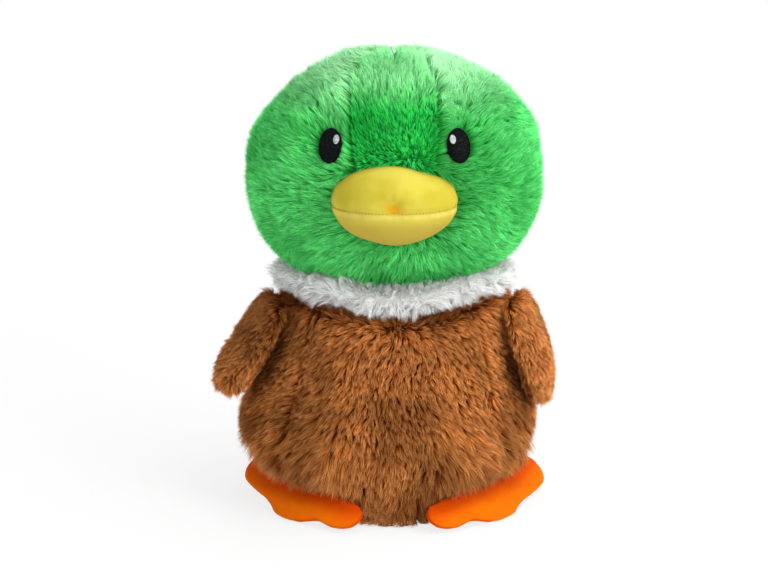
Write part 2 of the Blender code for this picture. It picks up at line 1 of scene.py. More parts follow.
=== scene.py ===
import math
import bpy
import numpy as np
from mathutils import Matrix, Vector, kdtree
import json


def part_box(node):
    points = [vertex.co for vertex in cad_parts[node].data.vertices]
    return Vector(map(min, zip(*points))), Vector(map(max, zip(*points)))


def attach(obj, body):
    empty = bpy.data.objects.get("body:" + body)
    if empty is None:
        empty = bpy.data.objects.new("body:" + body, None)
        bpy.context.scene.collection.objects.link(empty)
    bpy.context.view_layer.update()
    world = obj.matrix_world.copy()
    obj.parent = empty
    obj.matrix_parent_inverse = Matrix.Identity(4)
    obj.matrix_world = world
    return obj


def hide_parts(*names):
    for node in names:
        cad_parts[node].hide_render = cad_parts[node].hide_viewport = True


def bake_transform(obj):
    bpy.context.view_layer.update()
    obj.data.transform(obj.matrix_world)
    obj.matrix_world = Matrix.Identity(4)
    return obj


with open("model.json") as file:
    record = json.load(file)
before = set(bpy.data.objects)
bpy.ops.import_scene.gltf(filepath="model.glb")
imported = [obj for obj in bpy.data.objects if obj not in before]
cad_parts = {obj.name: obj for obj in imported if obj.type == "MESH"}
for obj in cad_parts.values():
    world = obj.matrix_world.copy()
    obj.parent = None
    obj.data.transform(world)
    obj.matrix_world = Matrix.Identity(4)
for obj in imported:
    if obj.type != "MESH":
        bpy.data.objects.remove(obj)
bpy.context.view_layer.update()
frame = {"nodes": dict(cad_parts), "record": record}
cadNodes = frame["nodes"]
print("frame loaded:", len(cadNodes), "nodes")


# Shader maths

class Link:  # a socket that takes part in sums
    def __init__(self, shades, socket):
        self.shades, self.socket = shades, socket

    def sum(self, operation, *others):
        return self.shades.add("ShaderNodeMath", {"operation": operation}, [self, *others])

    def __add__(self, other): return self.sum("ADD", other)
    def __radd__(self, other): return self.sum("ADD", other)
    def __mul__(self, other): return self.sum("MULTIPLY", other)
    def __rmul__(self, other): return self.sum("MULTIPLY", other)

    def ranged(self, low, high, toLow=0.0, toHigh=1.0):
        return self.shades.add("ShaderNodeMapRange", {"interpolation_type": "SMOOTHSTEP"},
                               [self, low, high, toLow, toHigh])


class Shades:  # a tree of shader nodes and the few ways they are made
    def __init__(self, tree):
        self.tree = tree

    def add(self, kind, settings=None, sockets=(), out=0):
        node = self.tree.nodes.new(kind)
        for name, value in (settings or {}).items():
            setattr(node, name, value)
        for key, value in sockets.items() if isinstance(sockets, dict) else enumerate(sockets):
            socket = node.inputs[key]
            if isinstance(value, Link):
                self.tree.links.new(value.socket, socket)
            else:
                socket.default_value = (*value, 1) if socket.type == "RGBA" else value
        return Link(self, node.outputs[out])

    def seen(self):
        # one for what is seen straight, in a shiny surface or through a clear one
        camera, glossy, through = (self.add("ShaderNodeLightPath", out=f"Is {ray} Ray")
                                   for ray in ("Camera", "Glossy", "Transmission"))
        return camera.sum("MAXIMUM", glossy).sum("MAXIMUM", through)

    def surface(self, output, link):
        self.tree.links.new(link.socket, self.tree.nodes[output].inputs["Surface"])


class Paint(Shades):  # one material
    def __init__(self, name, roughness, shine=0.5):
        self.material = bpy.data.materials.new(name)
        self.material.use_nodes = True
        super().__init__(self.material.node_tree)
        self.shader = self.tree.nodes["Principled BSDF"]
        self.shader.inputs["Roughness"].default_value = roughness
        self.shader.inputs["Specular IOR Level"].default_value = shine

    def place(self):
        return self.add("ShaderNodeTexCoord", out="Object")

    def height(self):
        return self.add("ShaderNodeSeparateXYZ", {}, [self.place()], out="Z")

    def vector(self, operation, *sockets, out=0):
        return self.add("ShaderNodeVectorMath", {"operation": operation}, sockets, out)

    def noise(self, scale, detail=2.0, stretch=None):
        at = self.vector("MULTIPLY", self.place(), stretch) if stretch else self.place()
        return self.add("ShaderNodeTexNoise", {}, {"Vector": at, "Scale": scale, "Detail": detail})

    def mix(self, factor, first, second, blend="MIX"):
        return self.add("ShaderNodeMix", {"data_type": "RGBA", "blend_type": blend},
                        {0: factor, 6: first, 7: second}, out=2)

    def attribute(self, name, channel="Red"):
        colour = self.add("ShaderNodeAttribute", {"attribute_name": name}, out="Color")
        return self.add("ShaderNodeSeparateColor", {}, [colour], out=channel)

    def colour(self, link):
        self.tree.links.new(link.socket, self.shader.inputs["Base Color"])
        return self

    def mottled(self, pattern, colour, share):
        # the colour, darkened to the share where the pattern is low
        return self.colour(self.mix(pattern, shaded(colour, share), colour))

    def bump(self, height, distance, strength=1.0):
        sockets = {"Height": height, "Distance": distance, "Strength": strength}
        node = self.add("ShaderNodeBump", {}, sockets, out="Normal")
        self.tree.links.new(node.socket, self.shader.inputs["Normal"])
        return self


def shaded(colour, share):
    return tuple(c * share for c in colour)


# Small helpers

def placed(name, data):
    piece = bpy.data.objects.new(name, data)
    bpy.context.collection.objects.link(piece)
    return piece


def selectOnly(piece):
    bpy.ops.object.select_all(action="DESELECT")
    piece.select_set(True)
    bpy.context.view_layer.objects.active = piece


def startEdit(piece):
    # edit mode, with the whole mesh selected
    selectOnly(piece)
    bpy.ops.object.mode_set(mode="EDIT")
    bpy.ops.mesh.select_all(action="SELECT")


def endEdit():
    bpy.ops.object.mode_set(mode="OBJECT")


def faceOut(piece):
    startEdit(piece)
    bpy.ops.mesh.normals_make_consistent(inside=False)
    endEdit()


def applyAll(piece):
    selectOnly(piece)
    for modifier in list(piece.modifiers):
        bpy.ops.object.modifier_apply(modifier=modifier.name)


def copyOf(names, newName):
    # CAD nodes copied, joined and welded into one new piece
    copies = [placed(newName, cadNodes[name].data.copy()) for name in names]
    selectOnly(copies[0])
    for piece in copies:
        piece.select_set(True)
    if len(copies) > 1:
        bpy.ops.object.join()
    piece = bpy.context.object
    piece.data.materials.clear()
    startEdit(piece)
    bpy.ops.mesh.remove_doubles(threshold=0.00001)
    endEdit()
    faceOut(piece)
    piece.name = newName
    return piece


def remeshed(piece, voxel, shrink, smooth):
    modifier = piece.modifiers.new("Remesh", "REMESH")
    modifier.mode, modifier.voxel_size = "VOXEL", voxel
    if shrink:
        applyAll(piece)
        startEdit(piece)
        bpy.ops.transform.shrink_fatten(value=-shrink)
        endEdit()
    modifier = piece.modifiers.new("Smooth", "SMOOTH")
    modifier.iterations, modifier.factor = smooth, 0.5
    applyAll(piece)
    bpy.ops.object.shade_smooth()
    return piece


def rounded(piece, rounds):
    modifier = piece.modifiers.new("Subdivision", "SUBSURF")
    modifier.levels = modifier.render_levels = rounds


def numbersOf(piece, what):
    values = np.empty(len(piece.data.vertices) * 3, np.float32)
    piece.data.vertices.foreach_get(what, values)
    return values.reshape(-1, 3).astype(float)


def pointsOf(piece):
    return numbersOf(piece, "co")


def normalsOf(piece):
    return numbersOf(piece, "normal")


def setPoints(piece, points):
    piece.data.vertices.foreach_set("co", points.astype(np.float32).ravel())
    piece.data.update()


def stain(mesh, name, *channels):
    # numbers for each vertex, kept as the red, green and blue of an attribute
    colours = np.ones((len(mesh.vertices), 4), np.float32)
    for i, numbers in enumerate(channels):
        colours[:, i] = numbers
    mesh.attributes.new(name, "FLOAT_COLOR", "POINT").data.foreach_set("color", colours.ravel())


def dress(piece, paint, nodes=(), body=None):
    # its material, the nodes it stands for and the body it rides on
    piece.data.materials.append(paint)
    if nodes:
        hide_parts(*nodes)
    if body:
        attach(piece, body)


def treeOf(points):
    tree = kdtree.KDTree(len(points))
    for i, point in enumerate(points):
        tree.insert(point, i)
    tree.balance()
    return tree


def unit(vectors):
    return vectors / np.maximum(np.linalg.norm(vectors, axis=1, keepdims=True), 1e-9)


def fade(values, low, high):
    part = np.clip((values - low) / (high - low), 0, 1)
    return part * part * (3 - 2 * part)


def hump(values, middle, width):
    return np.exp(-((values - middle) / width) ** 2)


def roundAngle(places, squash=1.0):
    # degrees round from the front, towards the duck's left
    return np.degrees(np.arctan2(places[:, 0] * squash, -places[:, 1]))


def roam(points, size, seed):
    # smooth random vectors, one for each point, that change over about the size
    table = np.random.RandomState(seed).uniform(-1, 1, (24, 24, 24, 3))
    at = points / size + 100.0
    cell = np.floor(at).astype(int)
    part = at - cell
    part = part * part * (3 - 2 * part)
    total = np.zeros((len(points), 3))
    for step in np.ndindex(2, 2, 2):
        weight = np.abs(1 - np.array(step) - part).prod(axis=1)
        x, y, z = ((cell + step) % 24).T
        total += weight[:, None] * table[x, y, z]
    return total


cloth = {"frames": 20, "quality": 5, "pressure": 4.0, "mass": 0.25, "stiffness": 9.0, "bending": 0.4}


def puffed(piece, held, cap):
    # the filling presses the cloth out between its seams, by no more than the cap
    start = pointsOf(piece)
    group = piece.vertex_groups.new(name="seams")
    for i, share in enumerate(held):
        group.add([i], float(share), "REPLACE")
    modifier = piece.modifiers.new("Cloth", "CLOTH")
    fabric = modifier.settings
    fabric.quality, fabric.mass = cloth["quality"], cloth["mass"]
    fabric.tension_stiffness = fabric.compression_stiffness = fabric.shear_stiffness = cloth["stiffness"]
    fabric.bending_stiffness = cloth["bending"]
    fabric.use_pressure, fabric.uniform_pressure_force = True, cloth["pressure"]
    fabric.effector_weights.gravity = 0.0
    fabric.vertex_group_mass = group.name
    modifier.collision_settings.use_collision = False
    modifier.point_cache.frame_start, modifier.point_cache.frame_end = 1, cloth["frames"]
    for moment in range(1, cloth["frames"] + 1):
        bpy.context.scene.frame_set(moment)
    applyAll(piece)
    piece.vertex_groups.clear()
    bpy.context.scene.frame_set(1)
    moved = pointsOf(piece) - start
    size = np.linalg.norm(moved, axis=1)
    print(piece.name, "puffed by up to", round(float(size.max()) * 1000, 2), "mm, held to", cap * 1000)
    share = np.minimum(1.0, cap * np.tanh(size / cap) / np.maximum(size, 1e-9))
    setPoints(piece, start + moved * share[:, None])


# Camera, floor and light

view = {"target": (0, 0, 0.115), "distance": 1.0, "elevation": 12.8, "lens": 88.3,
        "aimX": 394.5, "aimY": 276.0, "width": 768, "height": 576}


def makeCamera():
    tilt = math.radians(view["elevation"])
    back = Vector((0, -math.cos(tilt), math.sin(tilt)))
    data = bpy.data.cameras.new("camera")
    data.lens = view["lens"]
    data.shift_x = -(view["aimX"] - view["width"] / 2) / view["width"]
    data.shift_y = (view["aimY"] - view["height"] / 2) / view["width"]
    data.clip_start, data.clip_end = 0.05, 30
    camera = placed("camera", data)
    camera.location = Vector(view["target"]) + back * view["distance"]
    camera.rotation_euler = (-back).to_track_quat("-Z", "Y").to_euler()
    bpy.context.scene.camera = camera


studio = {"floorSize": 6.0, "floorDrop": 0.0002, "paper": 0.86, "floorGlow": 0.79, "glowNear": 0.22,
          "glowFar": 0.60, "ambient": 0.50, "aim": (0, 0, 0.12),
          "lamps": [  # name, place, size, watts
              ("topLamp", (0.42, -0.10, 0.90), 0.75, 6.4),
              ("keyLamp", (0.90, -0.84, 0.64), 0.60, 9.5),
              ("fillLamp", (-0.85, -0.85, 0.24), 0.80, 4.6),
              ("backLamp", (0.10, 0.90, 0.80), 0.80, 4.0),
          ]}


def makeSky():
    # white where it is seen, dimmer as light
    world = bpy.data.worlds.new("studio")
    bpy.context.scene.world = world
    world.use_nodes = True
    sky = Shades(world.node_tree)
    white, dim = (sky.add("ShaderNodeBackground", {}, {"Color": (1, 1, 1), "Strength": strength})
                  for strength in (1.0, studio["ambient"]))
    sky.surface("World Output", sky.add("ShaderNodeMixShader", {}, [sky.seen(), dim, white]))


def makeFloor():
    # paper that fades to white away from the duck and keeps its shadow
    bpy.ops.mesh.primitive_plane_add(size=studio["floorSize"], location=(0, 0, -studio["floorDrop"]))
    floor = bpy.context.object
    floor.name = "floor"
    paper = Paint("paperFloor", 0.9)
    paper.shader.inputs["Base Color"].default_value = (studio["paper"], studio["paper"], studio["paper"], 1)
    glow = paper.add("ShaderNodeEmission", {}, {"Color": (1, 1, 1), "Strength": 1.0})
    reach = paper.vector("LENGTH", paper.place(), out="Value")
    even = reach.ranged(studio["glowNear"], studio["glowFar"], studio["floorGlow"], 1.0)
    own = Link(paper, paper.shader.outputs[0])
    paper.surface("Material Output", paper.add("ShaderNodeMixShader", {}, [paper.seen() * even, own, glow]))
    floor.data.materials.append(paper.material)


def makeLamps():
    for name, place, size, watts in studio["lamps"]:
        lamp = bpy.data.lights.new(name, "AREA")
        lamp.size, lamp.energy = size, watts
        holder = placed(name, lamp)
        holder.location = place
        holder.rotation_euler = (Vector(studio["aim"]) - Vector(place)).to_track_quat("-Z", "Y").to_euler()


bpy.context.scene.view_settings.view_transform = "Standard"
makeCamera()
makeSky()
makeFloor()
makeLamps()
print("camera and studio set")


# Pile: strands combed over a skin

def rootsOn(skin, count, rng, density=None):
    # random places on a skin, with their normals, closer together where the density is higher
    skin.data.calc_loop_triangles()
    triangles = np.empty(len(skin.data.loop_triangles) * 3, np.int32)
    skin.data.loop_triangles.foreach_get("vertices", triangles)
    triangles = triangles.reshape(-1, 3)
    corners, normals = pointsOf(skin)[triangles], normalsOf(skin)[triangles]
    a, b, c = corners.transpose(1, 0, 2)
    areas = np.linalg.norm(np.cross(b - a, c - a), axis=1) / 2
    if density:
        areas = areas * density((a + b + c) / 3, unit(normals.sum(axis=1)))
    reach = np.cumsum(areas)
    picks = (np.arange(count) + rng.uniform(0, 1, count)) / count * reach[-1]
    which = np.minimum(np.searchsorted(reach, picks), len(reach) - 1)
    u, v = rng.uniform(0, 1, (2, count))
    flip = u + v > 1
    u[flip], v[flip] = 1 - u[flip], 1 - v[flip]
    shares = np.stack([1 - u - v, u, v], axis=1)[:, :, None]
    return (corners[which] * shares).sum(axis=1), unit((normals[which] * shares).sum(axis=1))


def strandPath(places, ups, combs, lengths, leans, steps):
    # each strand rises from its root and bends over towards its comb
    path = [places]
    for i in range(1, len(steps)):
        middle = (steps[i - 1] + steps[i]) / 2
        turn = leans * (0.45 + 0.75 * middle)
        piece = lengths * (steps[i] - steps[i - 1])
        path.append(path[-1] + (ups * np.cos(turn)[:, None] + combs * np.sin(turn)[:, None]) * piece[:, None])
    return np.stack(path, axis=1)


def lockedPaths(coat, style, rng):
    # the strands' paths, each led towards the middle strand of its lock, with the chance of each lock
    places, ups, combs, lengths, leans = coat
    steps = np.array(style["steps"])
    count = len(places)
    lockCount = max(2, int(count / style["perLock"]))
    guides = rng.choice(count, lockCount, replace=False)
    tree = treeOf(places[guides])
    lock = np.array([tree.find(place)[1] for place in places])
    guide = guides[lock]
    wander = rng.normal(0, 1, (lockCount, 3))[lock] * style["lockWander"]
    combs = unit(combs + wander + rng.normal(0, 1, (count, 3)) * style["strandWander"])
    combs = unit(combs - ups * (combs * ups).sum(axis=1, keepdims=True))
    lengths = lengths * rng.uniform(1 - style["lockVary"], 1, lockCount)[lock]
    lengths = lengths * rng.uniform(1 - style["strandVary"], 1, count)
    leans = np.clip(leans + rng.normal(0, style["leanVary"], count), 0.02, 1.5)
    own = strandPath(places, ups, combs, lengths, leans, steps)
    led = own[guide] + (places - places[guide])[:, None, :] * style["lockWidth"]
    pull = (style["pull"] * steps ** 1.6)[None, :, None] * rng.uniform(0.6, 1.0, count)[:, None, None]
    path = own + (led - own) * pull
    path[:, :, 2] = np.maximum(path[:, :, 2], style["floor"])
    return path, lock, lockCount


def layPile(name, coat, style, seed):
    rng = np.random.RandomState(seed)
    path, lock, lockCount = lockedPaths(coat, style, rng)
    steps = style["steps"]
    count, spans = len(path), len(steps) - 1
    perStrand = spans * 2 + 1
    along = np.diff(path, axis=1)
    flat = np.concatenate([along, along[:, -1:]], axis=1).reshape(-1, 3)
    side = unit(np.cross(flat, np.repeat(coat[1], len(steps), axis=0)))
    roll = np.repeat(rng.normal(0, style["roll"], count), len(steps))[:, None]
    side = unit(side * np.cos(roll) + np.cross(unit(flat), side) * np.sin(roll)).reshape(path.shape)
    widths = style["width"] * rng.uniform(0.7, 1.25, count)[:, None] * np.array(style["taper"])
    half = side[:, :-1] * widths[:, :-1, None] / 2
    points = np.empty((count, perStrand, 3))
    points[:, 0:-1:2] = path[:, :-1] - half
    points[:, 1:-1:2] = path[:, :-1] + half
    points[:, -1] = path[:, -1]
    # faces: quads up the strand and a triangle at its tip
    faces = [(2 * i, 2 * i + 1, 2 * i + 3, 2 * i + 2) for i in range(spans - 1)]
    faces.append((2 * spans - 2, 2 * spans - 1, 2 * spans))
    pattern = np.concatenate(faces)
    starts = np.cumsum([0] + [len(face) for face in faces[:-1]])
    strand = np.arange(count)[:, None]
    loops = (pattern + strand * perStrand).ravel()
    faceStarts = (starts + strand * len(pattern)).ravel()
    mesh = bpy.data.meshes.new(name)
    mesh.vertices.add(count * perStrand)
    mesh.vertices.foreach_set("co", points.astype(np.float32).ravel())
    mesh.loops.add(len(loops))
    mesh.loops.foreach_set("vertex_index", loops.astype(np.int32))
    mesh.polygons.add(len(faceStarts))
    mesh.polygons.foreach_set("loop_start", faceStarts.astype(np.int32))
    mesh.update(calc_edges=True)
    # what the material reads: how far up, the strand's own chance, its lock's chance
    up = [steps[i // 2] for i in range(spans * 2)] + [1.0]
    own, shared = rng.uniform(0, 1, count), rng.uniform(0, 1, lockCount)[lock]
    stain(mesh, "lay", np.tile(up, count), np.repeat(own, perStrand), np.repeat(shared, perStrand))
    # a map with one small cell for each strand
    across = math.ceil(math.sqrt(count))
    corner = np.concatenate([strand % across, strand // across], axis=1) / across
    local = [(0.15 if i % 2 == 0 else 0.85, 0.1 + 0.8 * steps[i // 2]) for i in range(spans * 2)] + [(0.5, 0.9)]
    spots = corner[:, None, :] + np.array(local)[pattern] / across
    mesh.uv_layers.new(name="OFBake").data.foreach_set("uv", spots.astype(np.float32).ravel())
    mesh.polygons.foreach_set("use_smooth", np.ones(len(faceStarts), bool))
    print(name, count, "strands,", len(mesh.loops) - 2 * len(mesh.polygons), "triangles")
    return placed(name, mesh)


def furred(name, node, pick, coat, style, paint, body, seed):
    # the pile of one panel: its part of the coat, laid and handed to its node and body
    fur = layPile(name, [values[pick] for values in coat], style, seed)
    dress(fur, paint, [node], body)
    return fur


def pilePaint(name, colours, vary):
    # darker at the root, as painted shade deep in the pile, and paler at the tip, as painted sheen; each strand
    # and lock a little different
    paint = Paint(name, 0.8, 0.06)
    up, own, lock = (paint.attribute("lay", channel) for channel in ("Red", "Green", "Blue"))
    body = paint.mix(up.ranged(0.0, 0.55), colours["deep"], colours["mid"])
    body = paint.mix(up.ranged(0.40, 1.0) * (0.30 + own * 0.70), body, colours["tip"])
    # painted top light: the pile paler towards the top of the head, more so towards the tips
    if "crown" in colours:
        crown = colours["crown"]
        top = paint.height().ranged(crown["from"], crown["to"]) * crown["share"] * (0.35 + up * 0.65)
        body = paint.mix(top, body, crown["colour"])
    # painted shade: the pile darker towards the bottom
    if "low" in colours:
        low = colours["low"]
        body = paint.mix(paint.height().ranged(low["to"], low["from"]) * low["share"], body, colours["deep"])
    shade = 1.0 - vary * 0.74 + lock * vary * 0.9 + own * vary * 0.8
    body = paint.mix(1.0, body, paint.add("ShaderNodeCombineColor", {}, [shade, shade, shade]), "MULTIPLY")
    body = paint.mix(paint.noise(28.0).ranged(0.40, 0.62) * vary * 0.7, body, colours["deep"])
    return paint.colour(body).material


def skinPaint(name, deep):
    paint = Paint(name, 0.95)
    return paint.mottled(paint.noise(420.0), deep, 0.45).material


pileStyle = {"steps": (0, 0.5, 1), "taper": (1.0, 0.75, 0.3), "width": 0.00036, "perLock": 18,
             "lockWander": 0.26, "strandWander": 0.14, "lockVary": 0.26, "strandVary": 0.25, "leanVary": 0.12,
             "lockWidth": 0.42, "pull": 0.60, "roll": 0.45, "floor": 0.0006}


# Head

head = {"middle": (0, -0.002, 0.1717), "half": (0.079, 0.065, 0.06675), "fullness": 2.15,
        "voxel": 0.004, "pileDepth": 0.0056, "smooth": 4, "puff": 0.0016,
        "gussetHalf": 0.0225, "gussetFrom": -15, "gussetOver": 112,
        "gussetPlaces": (0, 0.2, 0.38, 0.62, 0.84, 1), "gussetShares": (0, 0.86, 1, 1, 0.64, 0),
        "seamHeld": 0.0035, "seamParts": 0.006, "crownParts": 0.004,
        "strands": 178000, "backShare": 0.66, "backFrom": 0.012, "length": 0.0104, "lean": 1.08,
        "foreheadLength": 0.0066, "foreheadLean": 0.42, "chin": 0.80, "chinHalf": 0.030, "bareShare": 0.74,
        "beak": (0.0, -0.066, 0.165), "beakHalf": 0.0305, "beakRise": 0.0190, "beakDrop": 0.0035,
        "eyeAside": 0.0323, "eyeUp": 0.0206, "eyeHalf": 0.0062, "eyeRise": 0.0091,
        # the crown colours are painted top light: the pile paler towards the top of the head
        "green": {"deep": (0.008, 0.300, 0.030), "mid": (0.055, 0.600, 0.100), "tip": (0.210, 0.890, 0.310),
                  "crown": {"from": 0.202, "to": 0.237, "share": 0.90, "colour": (0.600, 0.950, 0.630)}},
        "forehead": {"deep": (0.002, 0.350, 0.034), "mid": (0.020, 0.760, 0.105), "tip": (0.120, 0.920, 0.280),
                     "crown": {"from": 0.208, "to": 0.226, "share": 0.85, "colour": (0.480, 0.930, 0.520)}}}

headStyle = dict(pileStyle, perLock=10, lockWander=0.24, lockVary=0.22, pull=0.50, width=0.00032)
headPanels = ["head_left_panel", "head_right_panel", "head_gusset"]
headSkin = remeshed(copyOf(["head_gusset", "head_left_panel", "head_right_panel", "head_stuffing"],
                           "head_skin"), head["voxel"], head["pileDepth"], head["smooth"])


def gussetHalf(offset):
    # half the gusset's width on the skin, which lies a pile's depth inside the panels
    turn = np.degrees(np.arctan2(offset[:, 2], -offset[:, 1]))
    turn = (turn - head["gussetFrom"]) / head["gussetOver"]
    shares = np.interp(turn, head["gussetPlaces"], head["gussetShares"])
    return head["gussetHalf"] * shares * (1 - head["pileDepth"] / head["half"][1])


def headSeams(places):
    # how near each place is to a seam of the head
    half = gussetHalf(places - np.array(head["middle"]))
    return hump(np.abs(places[:, 0]), half, head["seamHeld"])


def settleHead(points):
    # a rounder crown, more so on the duck's right, and a little less jowl on its left
    x, z = points[:, 0], points[:, 2]
    right = 0.065 * fade(z, 0.192, 0.212)
    left = 0.030 * fade(z, 0.208, 0.224) + 0.100 * fade(z, 0.218, 0.232) + 0.085 * (1 - fade(z, 0.120, 0.142))
    points[:, 0] = x * (1 - np.where(x < 0, right, left) - 0.045 * fade(z, 0.222, 0.232))
    points[:, 2] = z + 0.0012 * fade(z, 0.215, 0.232)
    return points


def headCoat(places, ups, inGusset, aroundBeak, aroundEye):
    # the combs, lengths and leans of the head's pile, which runs outwards from the beak
    offset = places - np.array(head["middle"])
    side, rise = np.sign(places[:, 0]), offset[:, 2]
    inFront = offset[:, 1] < 0
    byEye = (1 - fade(aroundEye, 0.9, 2.3)) * inFront
    outward = (places - np.array(head["beak"])) * np.array([1.0, 0.55, 1.0])
    outward[:, 1] += 0.012
    outward[:, 2] -= 0.004
    combs = unit(outward) + roam(places, 0.026, 3) * 0.75 + roam(places, 0.010, 4) * 0.42
    # the side panels' pile leans away from the forehead seams, and the crown's from the middle
    seam = hump(np.abs(places[:, 0]), gussetHalf(offset), head["seamParts"]) * ~inGusset * fade(rise, 0.0, 0.02)
    parting = hump(places[:, 0], 0, head["crownParts"]) * fade(rise, 0.052, 0.060)
    combs[:, 0] += side * seam * np.where(inFront, 1.1, 0.5)
    combs[:, 0] += side * parting * 0.8
    combs[:, 0] += (places[:, 0] - side * head["eyeAside"]) / head["eyeHalf"] * byEye * 0.45
    combs[:, 2] += (rise - head["eyeUp"]) / head["eyeRise"] * byEye * 0.45
    fringe = hump(aroundBeak, 1.08, 0.20) * fade(rise, 0.0, 0.008) * inFront
    combs[:, 2] -= fringe * 2.2
    forehead = inGusset * (1 - fade(rise, 0.040, 0.058))
    chin = (1 - fade(rise, -0.052, -0.036)) * hump(places[:, 0], 0, head["chinHalf"]) * inFront
    combs[:, 2] -= chin * 1.2
    lengths = head["length"] * (1 - forehead) + head["foreheadLength"] * forehead
    lengths = lengths * (1 - 0.28 * byEye) * (1 + roam(places, 0.015, 19)[:, 1] * 0.16)
    lengths = lengths * (1 + head["chin"] * chin)
    leans = head["lean"] * (1 - forehead) + head["foreheadLean"] * forehead - 0.45 * chin
    leans = leans + roam(places, 0.013, 7)[:, 0] * 0.24 + 0.25 * byEye + 0.30 * fringe
    return places, ups, combs, lengths, leans


def makeHead():
    setPoints(headSkin, settleHead(pointsOf(headSkin)))
    puffed(headSkin, headSeams(pointsOf(headSkin)), head["puff"])
    places, ups = rootsOn(headSkin, head["strands"], np.random.RandomState(11), lambda at, up:
                          1 - (1 - head["backShare"]) * fade(at[:, 1], 0.0, head["backFrom"]))
    offset = places - np.array(head["middle"])
    aside = np.abs(places[:, 0])
    inGusset = aside < gussetHalf(offset)
    aroundBeak = np.hypot(places[:, 0] / head["beakHalf"],
                          (places[:, 2] - head["beak"][2] + head["beakDrop"]) / head["beakRise"])
    aroundEye = np.hypot((aside - head["eyeAside"]) / head["eyeHalf"],
                         (offset[:, 2] - head["eyeUp"]) / head["eyeRise"])
    bare = (offset[:, 1] < 0) & (np.minimum(aroundBeak, aroundEye) < head["bareShare"])
    coat = headCoat(places, ups, inGusset, aroundBeak, aroundEye)
    green = pilePaint("greenPile", head["green"], 0.58)
    darker = pilePaint("foreheadPile", head["forehead"], 0.50)
    front, left = places[:, 1] < 0, places[:, 0] > 0
    for name, node, pick, paint in (
            ("head_left_fur", "head_left_panel", ~inGusset & left & front, green),
            ("head_left_back_fur", "head_left_panel", ~inGusset & left & ~front, green),
            ("head_right_fur", "head_right_panel", ~inGusset & ~left & front, green),
            ("head_right_back_fur", "head_right_panel", ~inGusset & ~left & ~front, green),
            ("head_gusset_fur", "head_gusset", inGusset, darker)):
        furred(name, node, pick & ~bare, coat, headStyle, paint, "head", len(name))
    dress(headSkin, skinPaint("greenBacking", head["green"]["deep"]), headPanels, "head")


makeHead()
print("head covered")


# Body

body = {"voxel": 0.004, "pileDepth": 0.0056, "smooth": 4, "puff": 0.0018, "length": 0.0086, "lean": 0.88,
        "strands": 212000, "backShare": 0.70, "backFrom": 0.012, "baseShare": 0.22, "baseFacing": -0.8,
        "napLean": 1.2, "napShare": 0.5, "top": 0.112, "bottom": 0.001, "behind": 0.005,
        "seamAngle": 45, "squash": 0.97, "seamHeld": 3.5, "seamParts": 5.0, "footAngle": 32, "footSpread": 20,
        "settle": 0.0078, "sit": 0.0034, "overFoot": 0.0128, "overhang": 0.0034, "bulge": 0.0040,
        "shoulder": 0.0062,
        # low: painted shade, the brown pile darker towards the bottom of the body
        "brown": {"deep": (0.078, 0.013, 0.001), "mid": (0.475, 0.118, 0.012), "tip": (0.850, 0.430, 0.150),
                  "low": {"from": 0.006, "to": 0.050, "share": 0.24}}}
bodyStyle = dict(pileStyle, perLock=13, pull=0.58, width=0.00032, lockVary=0.30)
bodyPanels = ["body_front_panel", "body_left_panel", "body_right_panel"]
bodySkin = remeshed(copyOf([*bodyPanels, "body_base_panel", "body_stuffing"], "body_skin"),
                    body["voxel"], body["pileDepth"], body["smooth"])


def settleBody(points):
    # the filling has sunk towards the duck's right, stands out over the feet and lifts the shoulders
    x, y, z = points.T
    around = np.abs(roundAngle(points))
    low = hump(z, 0.034, 0.024) * np.clip(-x / 0.05, 0, 1)
    shelf = hump(z, 0.031, 0.010) * np.exp(-((around - body["footAngle"]) / body["footSpread"]) ** 4)
    shelf = shelf * body["overhang"]
    bulge = body["bulge"] * hump(z, 0.021, 0.009) * np.where(x > 0, x / 0.08, x / 0.16)
    raised = np.clip((z - 0.078) / 0.020, 0, 1) * np.clip((np.abs(x) - 0.018) / 0.026, 0, 1)
    sunk = np.maximum(0, 1 - np.maximum(0, z - 0.0056) / 0.008)
    across = x - body["settle"] * low + np.copysign(shelf * np.sin(np.radians(around)), x) + bulge
    return np.stack([across, y - shelf * np.cos(np.radians(around)),
                     z - body["sit"] * sunk + body["shoulder"] * raised], axis=1)


def bodySeams(places):
    # the side seams, the collar seam and the flat base hold the cloth
    sides = hump(np.abs(roundAngle(places, body["squash"])), body["seamAngle"], body["seamHeld"])
    ends = np.maximum(fade(places[:, 2], 0.090, 0.100), 1 - fade(places[:, 2], 0.006, 0.012))
    return np.maximum(sides, ends)


def bodyCoat(places, ups, around):
    # the combs, lengths and leans of the body's pile, which hangs down and parts along the side seams
    side = np.sign(places[:, 0])
    underCollar = fade(places[:, 2], 0.080, 0.103)
    skirt = 1 - fade(places[:, 2], 0.010, 0.030)
    combs = np.array([[0.0, 0.0, -1.0]]) + roam(places, 0.020, 5) * 0.45 + roam(places, 0.007, 6) * 0.28
    combs[:, 0] += side * 0.12 + np.clip(places[:, 0] / 0.020, -1, 1) * 0.9 * underCollar
    seam = hump(around, body["seamAngle"], body["seamParts"])
    combs[:, 0] += side * seam * np.sign(around - body["seamAngle"]) * 0.7
    # longer over the feet, where the body is drawn in
    overFoot = hump(places[:, 2], 0.034, 0.014) * fade(around, 8, 22) * (1 - fade(around, 58, 82))
    lengths = body["length"] * (1 + 0.70 * skirt * (around < 20)) + body["overFoot"] * overFoot
    leans = body["lean"] + roam(places, 0.014, 8)[:, 0] * 0.18 + 0.10 * skirt - 0.10 * overFoot
    return places, ups, combs, lengths, leans


